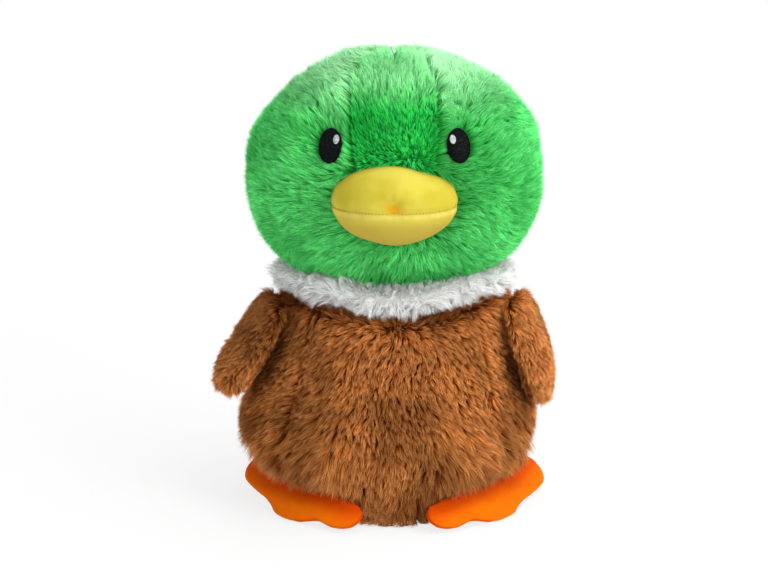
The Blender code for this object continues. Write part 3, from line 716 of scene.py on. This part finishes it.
def makeBody():
    puffed(bodySkin, bodySeams(pointsOf(bodySkin)), body["puff"])
    setPoints(bodySkin, settleBody(pointsOf(bodySkin)))
    places, ups = rootsOn(bodySkin, body["strands"], np.random.RandomState(21), lambda at, up: np.where(
        up[:, 2] < body["baseFacing"], body["baseShare"],
        1 - (1 - body["backShare"]) * fade(at[:, 1], 0.0, body["backFrom"])))
    around = np.abs(roundAngle(places, body["squash"]))
    coat = bodyCoat(places, ups, around)
    nap = ups[:, 2] <= body["baseFacing"]
    wall = (places[:, 2] > body["bottom"]) & ~nap & (places[:, 2] < body["top"])
    front, back, left = around < body["seamAngle"], places[:, 1] > body["behind"], places[:, 0] > 0
    for name, node, pick in (("body_front_fur", "body_front_panel", wall & front),
                             ("body_left_fur", "body_left_panel", wall & ~front & ~back & left),
                             ("body_left_back_fur", "body_left_panel", wall & back & left),
                             ("body_right_fur", "body_right_panel", wall & ~front & ~back & ~left),
                             ("body_right_back_fur", "body_right_panel", wall & back & ~left)):
        furred(name, node, pick, coat, bodyStyle, brownPile, "torso", len(name) + 40)
    flat = (places, ups, roam(places, 0.02, 9), coat[3] * body["napShare"], coat[4] * 0 + body["napLean"])
    furred("body_base_nap", "body_base_panel", nap, flat, pileStyle, brownPile, "torso", 57)
    dress(bodySkin, brownBacking, bodyPanels, "torso")


brownPile = pilePaint("brownPile", body["brown"], 0.62)
brownBacking = skinPaint("brownBacking", body["brown"]["deep"])
makeBody()
print("body covered")


# Wings

wing = {"turn": math.radians(16), "spread": {"left": math.radians(19), "right": math.radians(30)},
        "length": 0.058, "halfWidth": 0.024, "voxel": 0.0022, "smooth": 6, "puff": 0.0010, "inset": 0.86,
        "flat": 0.45, "strands": 41000, "pile": 0.0086, "tipPile": 0.0088, "innerShare": 0.8,
        "lean": 1.08, "innerLean": 0.1,
        "tipSpread": {"left": -0.04, "right": 0.22}, "reach": {"left": 0.79, "right": 0.80},
        "shoulder": 0.45, "raise": {"left": 0.0096, "right": 0.0082}, "blunt": 0.9,
        "kick": {"left": -0.0034, "right": 0.0010}}
joints = {joint["name"]: joint for joint in frame["record"]["behaviour"]["joints"]}


def wingAxes(side):
    sign, spread = (1 if side == "left" else -1), wing["spread"][side]
    toward = np.array([sign * math.cos(wing["turn"]), -math.sin(wing["turn"]), 0])
    across = np.array([sign * math.sin(wing["turn"]), math.cos(wing["turn"]), 0])
    down = toward * math.sin(spread) - np.array([0, 0, math.cos(spread)])
    out = toward * math.cos(spread) + np.array([0, 0, math.sin(spread)])
    return np.array(joints[f"wing_{side}_lift"]["pos_m"]), across, down, out


def shapeWing(skin, side, seat, axes):
    # flattened, drawn up under the shoulder, wider at its top and blunt at its tip
    offset = pointsOf(skin) - seat
    local = np.stack([offset @ axis for axis in axes], axis=1)
    middle = np.array([0, wing["length"] * 0.52, 0.001])
    local = middle + (local - middle) * np.array([wing["inset"], wing["reach"][side], wing["flat"]])
    share = np.clip(local[:, 1] / wing["length"], 0, 1)
    tip = np.clip((share - 0.55) / 0.35, 0, 1)
    local[:, 0] *= 1 + wing["tipSpread"][side] * share + wing["shoulder"] * (1 - share) ** 2
    local[:, 1] -= wing["raise"][side] * (1 - share) ** 2
    local[:, 2] = local[:, 2] * (1 + wing["blunt"] * tip) + wing["kick"][side] * tip
    setPoints(skin, seat + local @ np.array(axes))


def makeWing(side):
    seat, across, down, out = wingAxes(side)
    name = f"wing_{side}"
    panels = [name + "_outer_panel", name + "_inner_panel"]
    skin = remeshed(copyOf([*panels, name + "_stuffing"], name + "_skin"), wing["voxel"], 0, wing["smooth"])
    shapeWing(skin, side, seat, (across, down, out))
    offset = pointsOf(skin) - seat
    held = np.maximum(1 - fade(offset @ down, 0.004, 0.010), 1 - fade(np.abs(offset @ out), 0.0006, 0.0018))
    puffed(skin, held, wing["puff"])
    places, ups = rootsOn(skin, wing["strands"], np.random.RandomState(31 if side == "left" else 32))
    offset = places - seat
    share = np.clip(offset @ down / wing["length"], 0, 1)
    combs = down[None] + across[None] * (offset @ across / wing["halfWidth"] * 0.55)[:, None]
    combs = combs + roam(places, 0.016, 12) * 0.40 + roam(places, 0.007, 13) * 0.25
    lengths = wing["pile"] + (wing["tipPile"] - wing["pile"]) * fade(share, 0.55, 0.95)
    lengths = lengths * (1 + roam(places, 0.006, 20)[:, 0] * 0.40 * fade(share, 0.6, 0.9))
    leans = wing["lean"] + roam(places, 0.014, 14)[:, 0] * 0.14 - 0.16 * fade(share, 0.7, 0.95)
    outer = ups @ out > 0
    coat = (places, ups, combs, lengths, leans)
    inner = (places, ups, combs, lengths * wing["innerShare"], leans + wing["innerLean"])
    furred(name + "_outer_fur", panels[0], outer, coat, pileStyle, brownPile, name, 61)
    furred(name + "_inner_fur", panels[1], ~outer, inner, pileStyle, brownPile, name, 62)
    dress(skin, brownBacking, panels, name)


makeWing("left")
makeWing("right")
print("wings covered")


# Tail

tail = {"lift": math.radians(38), "voxel": 0.0022, "shrink": 0.0028, "smooth": 4, "strands": 16000,
        "pile": 0.0095, "lean": 1.05}


def makeTail():
    panels = ["tail_upper_panel", "tail_lower_panel"]
    skin = copyOf([*panels, "tail_stuffing"], "tail_skin")
    remeshed(skin, tail["voxel"], tail["shrink"], tail["smooth"])
    back = np.array([0, math.cos(tail["lift"]), math.sin(tail["lift"])])
    over = np.array([0, -math.sin(tail["lift"]), math.cos(tail["lift"])])
    places, ups = rootsOn(skin, tail["strands"], np.random.RandomState(41))
    coat = (places, ups, back[None] + roam(places, 0.014, 15) * 0.4, np.full(len(places), tail["pile"]),
            tail["lean"] + roam(places, 0.012, 16)[:, 0] * 0.15)
    upper = ups @ over > 0
    furred("tail_upper_fur", panels[0], upper, coat, pileStyle, brownPile, "torso", 63)
    furred("tail_lower_fur", panels[1], ~upper, coat, pileStyle, brownPile, "torso", 64)
    dress(skin, brownBacking, panels, "torso")


makeTail()
print("tail covered")


# Collar

collar = {"voxel": 0.0022, "shrink": 0.0026, "smooth": 3, "strands": 42000, "pile": 0.0112, "lean": 0.92,
          "wider": 1.055, "higher": 0.0020, "sideLift": 0.0050, "sideFrom": 6, "sideTo": 50, "blendOver": 0.004,
          "white": {"deep": (0.760, 0.770, 0.760), "mid": (0.900, 0.905, 0.895), "tip": (0.960, 0.965, 0.960)}}
collarStyle = dict(pileStyle, perLock=16, pull=0.62, width=0.00030, lockVary=0.32)


def sideways(places):
    # none at the front of the neck, all at its sides and back
    return fade(np.abs(roundAngle(places)), collar["sideFrom"], collar["sideTo"])


def makeCollar():
    low, high = (np.array(corner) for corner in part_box("collar_band"))
    skin = remeshed(copyOf(["collar_band"], "collar_skin"), collar["voxel"], collar["shrink"], collar["smooth"])
    points = pointsOf(skin)
    points[:, :2] *= collar["wider"]
    points[:, 2] += collar["higher"] + collar["sideLift"] * sideways(points)
    setPoints(skin, points)
    places, ups = rootsOn(skin, collar["strands"], np.random.RandomState(51))
    level = unit(places * np.array([1, 1, 0]))
    aside = sideways(places)
    rise = (places[:, 2] - low[2]) / (high[2] - low[2]) - collar["sideLift"] * aside / (high[2] - low[2])
    combs = level * 0.55 + roam(places, 0.014, 17) * 0.36
    combs[:, 2] += -0.34 + 0.28 * aside + (0.60 - 0.45 * aside) * fade(rise, 0.45, 0.95)
    lengths = collar["pile"] * (0.84 + 0.06 * aside - (0.26 + 0.16 * aside) * fade(rise, 0.5, 0.9))
    lengths = lengths * (1 + roam(places, 0.005, 21)[:, 0] * 0.35)
    leans = collar["lean"] + roam(places, 0.010, 18)[:, 0] * 0.14
    outer = (ups * level).sum(axis=1) > -0.3
    fur = furred("collar_fur", "collar_band", outer, (places, ups, combs, lengths, leans), collarStyle,
                 pilePaint("whitePile", collar["white"], 0.12), None, 65)
    dress(skin, skinPaint("whiteBacking", collar["white"]["mid"]), ["collar_band"])
    for piece in (fur, skin):
        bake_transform(piece)


makeCollar()
print("collar covered")


# Beak

beak = {"voxel": 0.0010, "smooth": 70, "swell": 0.0017, "uneven": 0.00035, "rooted": 0.0060, "tall": 1.04,
        "shallow": 0.90, "seamDepth": 0.0009, "seamReach": 0.0013, "seamDrop": 0.00015,
        "dimple": (-0.0004, 0.0021), "dimpleDepth": 0.0024, "dimpleReach": 0.0038, "dimpleFront": 0.010,
        "pucker": 0.0005, "puckers": 9, "puckerReach": 0.0065, "lift": 0.0014, "liftReach": 0.010,
        "slope": 0.0019, "slopeAside": 0.017, "slopeHalf": 0.011, "stitches": 44, "stitchLength": 0.0016,
        "stitchWidth": 0.00026, "stitchTurn": math.radians(84), "stitchGap": 0.0022,
        "yellow": (0.490, 0.400, 0.032), "pale": (0.580, 0.495, 0.066), "under": (0.455, 0.350, 0.052),
        # edge: painted shade where the plush turns back into the pile
        # rim: painted highlight on the puffed band along the seam
        # seam: painted shade in the pinched dimple at the middle of the mouth line
        "seam": (0.620, 0.290, 0.002), "edge": (0.170, 0.120, 0.008), "rimHighlight": (0.640, 0.520, 0.130),
        "thread": (0.480, 0.320, 0.030)}


def beakSeam():
    low, high = (np.array(corner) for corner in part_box("beak_upper"))
    return (low[0] + high[0]) / 2, low[1], float(low[2]) - beak["seamDrop"]


def shapeBeak(piece):
    # the seam draws the plush in, and its middle is pinched
    centre, front, seamZ = beakSeam()
    points, normals = pointsOf(piece), normalsOf(piece)
    above = points[:, 2] - seamZ
    across = points[:, 0] - centre - beak["dimple"][0]
    rise = above - beak["dimple"][1]
    away = np.hypot(across, rise)
    facing = points[:, 1] < front + beak["dimpleFront"]
    near = np.exp(-np.abs(above / beak["seamReach"]) ** 1.4)
    pinch = hump(away, 0, beak["dimpleReach"]) * facing
    folds = np.cos(np.arctan2(rise, across) * beak["puckers"]) * hump(away, 0, beak["puckerReach"]) * facing
    depth = near * beak["seamDepth"] - folds * (1 - pinch) * beak["pucker"]
    points -= normals * depth[:, None]
    points[:, 1] += pinch * beak["dimpleDepth"]
    points += normals * (beak["swell"] + roam(points, 0.010, 71)[:, 0] * beak["uneven"])[:, None]
    # the upper half stands a little taller, the lower half is shallower, and the top slopes away to the left
    above = points[:, 2] - seamZ
    points[:, 2] = seamZ + above * np.where(above > 0, beak["tall"], beak["shallow"])
    slope = hump(points[:, 0] - centre, beak["slopeAside"], beak["slopeHalf"])
    points[:, 2] -= beak["slope"] * (slope * fade(points[:, 2] - seamZ, 0.003, 0.015))
    # its back edge goes into the head
    back = points[:, 1].max()
    points[:, 1] += fade(points[:, 1], back - 0.007, back - 0.001) * beak["rooted"]
    setPoints(piece, points)


def liftSeam(piece):
    # the mouth line sits a little higher than the middle of the beak
    points = pointsOf(piece)
    points[:, 2] += beak["lift"] * hump(points[:, 2], beakSeam()[2], beak["liftReach"])
    setPoints(piece, points)


def halfOf(piece, name, upper):
    # one side of the seam, closed where the other side is cut away
    part = placed(name, piece.data.copy())
    startEdit(part)
    bpy.ops.mesh.bisect(plane_co=(0, 0, beakSeam()[2]), plane_no=(0, 0, 1), use_fill=True, clear_inner=upper,
                        clear_outer=not upper)
    endEdit()
    return part


def velourPaint():
    paint = Paint("yellowVelour", 0.85, 0.08)
    centre, front, seamZ = beakSeam()
    nap = paint.noise(2600.0)
    height = paint.height()
    body = paint.mix(paint.noise(60.0).ranged(0.35, 0.65), beak["yellow"], beak["pale"])
    body = paint.mix(height.ranged(seamZ, seamZ - 0.0075), body, beak["under"])
    body = paint.mix(nap.ranged(0.30, 0.75) * 0.25, body, shaded(beak["yellow"], 0.8))
    # painted highlight: a paler band along the puffed edge of the seam, mostly just under it, broken by creases
    rimHighlight = height.ranged(seamZ - 0.0028, seamZ - 0.0004) * height.ranged(seamZ + 0.0010, seamZ + 0.0002)
    creases = paint.noise(420.0, stretch=(1.0, 1.0, 0.25))
    body = paint.mix(rimHighlight * (0.30 + creases.ranged(0.20, 0.80) * 0.55), body, beak["rimHighlight"])
    # painted shade: darker orange in the pinched dimple at the middle of the seam
    middle = (centre + beak["dimple"][0], front + beak["dimpleDepth"], seamZ + beak["dimple"][1] + beak["lift"])
    offset = paint.vector("MULTIPLY", paint.vector("SUBTRACT", paint.place(), middle), (1.0, 0.7, 1.7))
    spot = paint.vector("LENGTH", offset, out="Value")
    body = paint.mix(spot.ranged(0.0072, 0.0012) * 0.80, body, beak["seam"])
    # painted shade along the edge where the plush turns back into the pile
    body = paint.mix(paint.attribute("edge") * 0.75, body, beak["edge"])
    return paint.colour(body).bump(nap, 0.0002, 0.5).material


threadShape = ((-0.5, 0.0), (-0.3, 0.8), (0.0, 1.0), (0.3, 0.8), (0.5, 0.0))  # across and up, of half a round


def threadStrips(name, strips, width, height):
    # flattened half-round threads, each along its own points and ups
    points, faces = [], []
    for path, ups in strips:
        side = unit(np.cross(np.gradient(path, axis=0), ups))
        start, last = len(points), len(path) - 1
        for i in range(last + 1):
            slim = 0.55 if i in (0, last) else 1.0
            for across, lift in threadShape:
                points.append(path[i] + side[i] * across * width * slim + ups[i] * lift * height * slim)
        for i in range(last):
            a = start + i * 5
            faces += [(a + j, a + j + 1, a + j + 6, a + j + 5) for j in range(4)]
            faces.append((a, a + 5, a + 9, a + 4))
        faces.append(tuple(start + j for j in range(5)))
        faces.append(tuple(start + last * 5 + j for j in reversed(range(5))))
    mesh = bpy.data.meshes.new(name)
    mesh.from_pydata([tuple(point) for point in points], [], faces)
    piece = placed(name, mesh)
    faceOut(piece)
    bpy.ops.object.shade_smooth()
    return piece


def threadPaint(name, colour, sheen=None):
    paint = Paint(name, 0.6, 0.05)
    strand = paint.noise(1500.0)
    uneven = paint.mix(strand.ranged(0.3, 0.7), shaded(colour, 0.5), shaded(colour, 1.3))
    if sheen:
        uneven = paint.mix(paint.noise(1900.0, 3.0).ranged(0.56, 0.74) * 0.7, uneven, sheen)
    return paint.colour(uneven).bump(strand, 0.00006, 0.5).material


def beakStitches(form):
    # small stitches that cross the seam, laid where rays from in front meet the beak
    centre, front, seamZ = beakSeam()
    strips = []
    for i in range(beak["stitches"]):
        turn = ((i + 0.5) / beak["stitches"] * 2 - 1) * beak["stitchTurn"]
        aim = Vector((math.sin(turn), -math.cos(turn), 0))
        path, ups = [], []
        for step in (-1, -0.35, 0.35, 1):
            start = Vector((centre, front + 0.024, seamZ + step * beak["stitchLength"] / 2)) + aim * 0.10
            found, where, normal, face = form.ray_cast(start, -aim)
            if found:
                ups.append(np.array(normal))
                path.append(np.array(where) + ups[-1] * (0.00008 - 0.00035 * abs(step) ** 3))
        if len(path) == 4 and abs(path[1][0] - centre - beak["dimple"][0]) > beak["stitchGap"]:
            strips.append((np.array(path), np.array(ups)))
    return threadStrips("beak_stitches", strips, beak["stitchWidth"], beak["stitchWidth"] * 0.5)


def makeBeak():
    form = remeshed(copyOf(["beak_upper", "beak_lower", "beak_stuffing"], "beakForm"), beak["voxel"], 0,
                    beak["smooth"])
    shapeBeak(form)
    stitches = beakStitches(form)
    liftSeam(stitches)
    dress(stitches, threadPaint("yellowThread", beak["thread"]), body="head")
    velour = velourPaint()
    for name in ("beak_upper", "beak_lower"):
        piece = halfOf(form, name + "_plush", name == "beak_upper")
        liftSeam(piece)
        # painted shade, darker where the plush turns back into the pile
        stain(piece.data, "edge", 1 - fade(-normalsOf(piece)[:, 1], -0.05, 0.34))
        dress(piece, velour, [name], "head")
    bpy.data.objects.remove(form)


makeBeak()
print("beak made")


# Eyes

eye = {"raise": 0.0226, "width": 0.0114, "height": 0.0172, "lean": math.radians(10.5), "above": -0.0016,
       "swell": 0.0009, "row": 0.00040, "border": 62, "ground": 0.0001, "rooted": 0.0040,
       "glint": (-0.0029, 0.0036), "glintWidth": 0.0031, "glintHeight": 0.0043, "glintSwell": 0.0002,
       "black": (0.0028, 0.0033, 0.0036), "sheen": (0.060, 0.068, 0.070), "white": (0.50, 0.52, 0.54)}
borderShape = ((0.80, 0.0001), (0.88, 0.0004), (0.97, 0.0003), (1.04, -0.0006))  # share of the eye, height


def onHead(x, z, above):
    wide, deep, tall = head["half"]
    power = head["fullness"]
    left = max(0.0, 1 - abs(x / wide) ** power - abs(z / tall) ** power)
    y = -deep * left ** (1 / power)
    normal = unit(np.array([[np.sign(x) * abs(x / wide) ** (power - 1) / wide,
                             -abs(y / deep) ** (power - 1) / deep,
                             np.sign(z) * abs(z / tall) ** (power - 1) / tall]]))[0]
    return np.array(head["middle"]) + np.array([x, y, z]) + normal * above, normal


def makeEye(side):
    sign = 1 if side == "left" else -1
    rng = np.random.RandomState(81 if side == "left" else 82)

    def spot(u, v, above, centre=(0.0, 0.0)):
        u, v = u + centre[0], v + centre[1]
        x = head["eyeAside"] + u * math.cos(eye["lean"]) - v * math.sin(eye["lean"])
        z = eye["raise"] + u * math.sin(eye["lean"]) + v * math.cos(eye["lean"])
        return onHead(sign * x, z, above)

    def satin(name, width, height, above, swell, centre, border):
        # rows of thread across the eye, and a border of short ones where it has one
        row, threads = eye["row"], []
        count = int(height / row)
        for i in range(count):
            v = (i + 0.5) / count * height - height / 2
            half = width / 2 * math.sqrt(max(0.0, 1 - (2 * v / height) ** 2)) * (0.93 if border else 1.0)
            if half < row:
                continue
            jitter = rng.normal(0, row * 0.10)
            threads.append([])
            for step in np.linspace(-1, 1, 7):
                rise = above + swell * (1 - (step * half * 2 / width) ** 2 - (2 * v / height) ** 2)
                threads[-1].append(spot(step * half, v + jitter * step, rise, centre))
        for i in range(border):
            angle = math.tau * (i + rng.uniform(-0.15, 0.15)) / border
            across, up = width / 2 * math.cos(angle), height / 2 * math.sin(angle)
            threads.append([spot(r * across, r * up, above + lift, centre) for r, lift in borderShape])
        strips = [[np.array(part) for part in zip(*thread)] for thread in threads]
        return threadStrips(name, strips, row * 1.25, row * 0.55)

    def patch(name, width, height, above, swell):
        # the ground that the stitches lie on
        bpy.ops.mesh.primitive_circle_add(vertices=48, radius=1, fill_type="TRIFAN")
        piece = bpy.context.object
        piece.name = name
        startEdit(piece)
        bpy.ops.mesh.subdivide(number_cuts=3)
        bpy.ops.mesh.extrude_region_move(TRANSFORM_OT_translate={"value": (0, 0, 1)})
        endEdit()
        for vertex in piece.data.vertices:
            u, v, top = vertex.co
            rise = above + swell * (1 - u * u - v * v) if top > 0.5 else above - eye["rooted"]
            vertex.co = spot(u * width / 2, v * height / 2, rise)[0]
        faceOut(piece)
        return piece

    name = f"eye_{side}"
    ground = patch(name + "_ground", eye["width"], eye["height"], eye["above"] - eye["ground"], eye["swell"])
    dress(ground, blackThread, body="head")
    stitches = satin(name + "_stitches", eye["width"], eye["height"], eye["above"], eye["swell"], (0.0, 0.0),
                     eye["border"])
    dress(stitches, blackThread, [name], "head")
    rise = eye["above"] + eye["swell"] * 0.9 + eye["glintSwell"]
    glint = satin(name + "_glint", eye["glintWidth"], eye["glintHeight"], rise, eye["glintSwell"], eye["glint"],
                  0)
    dress(glint, whiteThread, [name + "_highlight"], "head")


blackThread = threadPaint("blackThread", eye["black"], eye["sheen"])
whiteThread = threadPaint("whiteThread", eye["white"])
makeEye("left")
makeEye("right")
print("eyes stitched")


# Feet

foot = {"rounds": 2, "passes": 3, "droop": {"left": 0.0060, "right": 0.0042}, "apart": 0.0022, "rest": 0.0004,
        "tuck": 0.0040, "tuckAngle": math.radians(46), "droopFrom": 0.040, "droopTo": 0.084,
        # red: painted shade where the felt goes in under the body's pile
        "orange": (0.760, 0.132, 0.002), "bright": (0.800, 0.160, 0.002), "shadeRed": (0.560, 0.040, 0.001),
        "underNear": 0.0125, "underFar": 0.0225}
bodyTree = treeOf(pointsOf(bodySkin))


def roundedThrough(piece):
    # subdivided so that the smooth surface still passes through the piece's own points
    wanted = pointsOf(piece)
    held = wanted.copy()
    rounded(piece, foot["rounds"])
    for turn in range(foot["passes"]):
        bpy.context.view_layer.update()
        smooth = piece.evaluated_get(bpy.context.evaluated_depsgraph_get())
        held += wanted - pointsOf(smooth)[:len(wanted)]
        setPoints(piece, held)
    applyAll(piece)
    bpy.ops.object.shade_smooth()
    return piece


def feltPaint():
    paint = Paint("orangeFelt", 0.92, 0.03)
    fibres = paint.noise(1400.0, 3.0)
    body = paint.mix(paint.noise(160.0).ranged(0.15, 0.85), foot["orange"], foot["bright"])
    body = paint.mix(fibres.ranged(0.3, 0.7) * 0.2, body, shaded(foot["orange"], 0.75))
    # painted shade: deeper red where the felt goes in under the body's pile
    body = paint.mix(paint.attribute("under") * 0.85, body, foot["shadeRed"])
    return paint.colour(body).bump(fibres, 0.00025, 0.6).material


def droopFoot(piece, side):
    # the outer end hangs lower, the toes stand a little further apart, and the top is tucked under the body
    points = pointsOf(piece)
    sign = 1 if side == "left" else -1
    outer = fade(points[:, 0] * sign, foot["droopFrom"], foot["droopTo"])
    points[:, 0] += sign * foot["apart"] * (1 - outer)
    tucked = fade(points[:, 2], 0.008, 0.018) * foot["tuck"]
    points[:, 0] -= sign * tucked * math.sin(foot["tuckAngle"])
    points[:, 1] += tucked * math.cos(foot["tuckAngle"])
    points[:, 2] -= np.minimum(foot["droop"][side] * outer, np.maximum(points[:, 2] - foot["rest"], 0) * 0.85)
    setPoints(piece, points)


def makeFoot(side, felt):
    for part in ("top", "sole"):
        name = f"foot_{side}_{part}"
        piece = roundedThrough(copyOf([name], name + "_felt"))
        droopFoot(piece, side)
        # painted shade, deeper red where the felt goes in under the body's pile
        away = np.array([bodyTree.find(point)[2] for point in pointsOf(piece)])
        stain(piece.data, "under", 1 - fade(away, foot["underNear"], foot["underFar"]))
        dress(piece, felt, [name], "foot_" + side)


orangeFelt = feltPaint()
makeFoot("left", orangeFelt)
makeFoot("right", orangeFelt)
print("feet made")


# Filling, pouch and padding inside

inside = {"fill": 0.8, "lumps": 0.007, "fibre": (0.80, 0.80, 0.78), "pouch": (0.64, 0.62, 0.56),
          "foam": (0.78, 0.76, 0.66),
          "fillings": [  # node, body that carries it, how far it is drawn in
              ("head", "head", 0.0056), ("beak", "head", 0.0042), ("body", "torso", 0.0056),
              ("tail", "torso", 0.0024), ("wing_left", "wing_left", 0.0020),
              ("wing_right", "wing_right", 0.0020)]}


def fibrePaint():
    paint = Paint("looseFibre", 0.95)
    strands = paint.noise(300.0, 4.0, stretch=(1.0, 3.0, 1.0))
    return paint.mottled(strands, inside["fibre"], 0.7).bump(strands, 0.0008).material


def weavePaint():
    paint = Paint("pouchWeave", 0.9)
    warp, weft = (paint.add("ShaderNodeTexWave", {"bands_direction": way},
                            {"Vector": paint.place(), "Scale": 900.0}) for way in ("X", "Z"))
    return paint.mottled(warp * weft, inside["pouch"], 0.75).material


def foamPaint():
    paint = Paint("paddingFoam", 0.9)
    pores = paint.add("ShaderNodeTexVoronoi", {}, {"Vector": paint.place(), "Scale": 1200.0}, out="Distance")
    return paint.mottled(pores, inside["foam"], 0.7).material


def lumpyCopy(node, name, lump, shrink):
    # rounded, lumpy and drawn in, so that it sits inside its covering
    piece = copyOf([node], name)
    rounded(piece, 1)
    applyAll(piece)
    bpy.ops.object.shade_smooth()
    points = pointsOf(piece)
    bumps = roam(points, inside["lumps"], 91)[:, 0] * lump - shrink
    setPoints(piece, points + normalsOf(piece) * bumps[:, None])
    return piece


looseFibre, pouchWeave, paddingFoam = fibrePaint(), weavePaint(), foamPaint()
for part, carrier, shrink in inside["fillings"]:
    filling = lumpyCopy(part + "_stuffing", part + "_fibre", 0.0005, shrink)
    dress(filling, looseFibre, [part + "_stuffing"], carrier)
pouch = lumpyCopy("bean_pouch", "bean_pouch_cloth", 0.0003, 0.0015)
dress(pouch, pouchWeave, ["bean_pouch"], "torso")
for side in ("left", "right"):
    padding = copyOf([f"foot_{side}_foam"], f"foot_{side}_padding")
    droopFoot(padding, side)
    dress(padding, paddingFoam, [f"foot_{side}_foam"], "foot_" + side)
print("inside dressed")
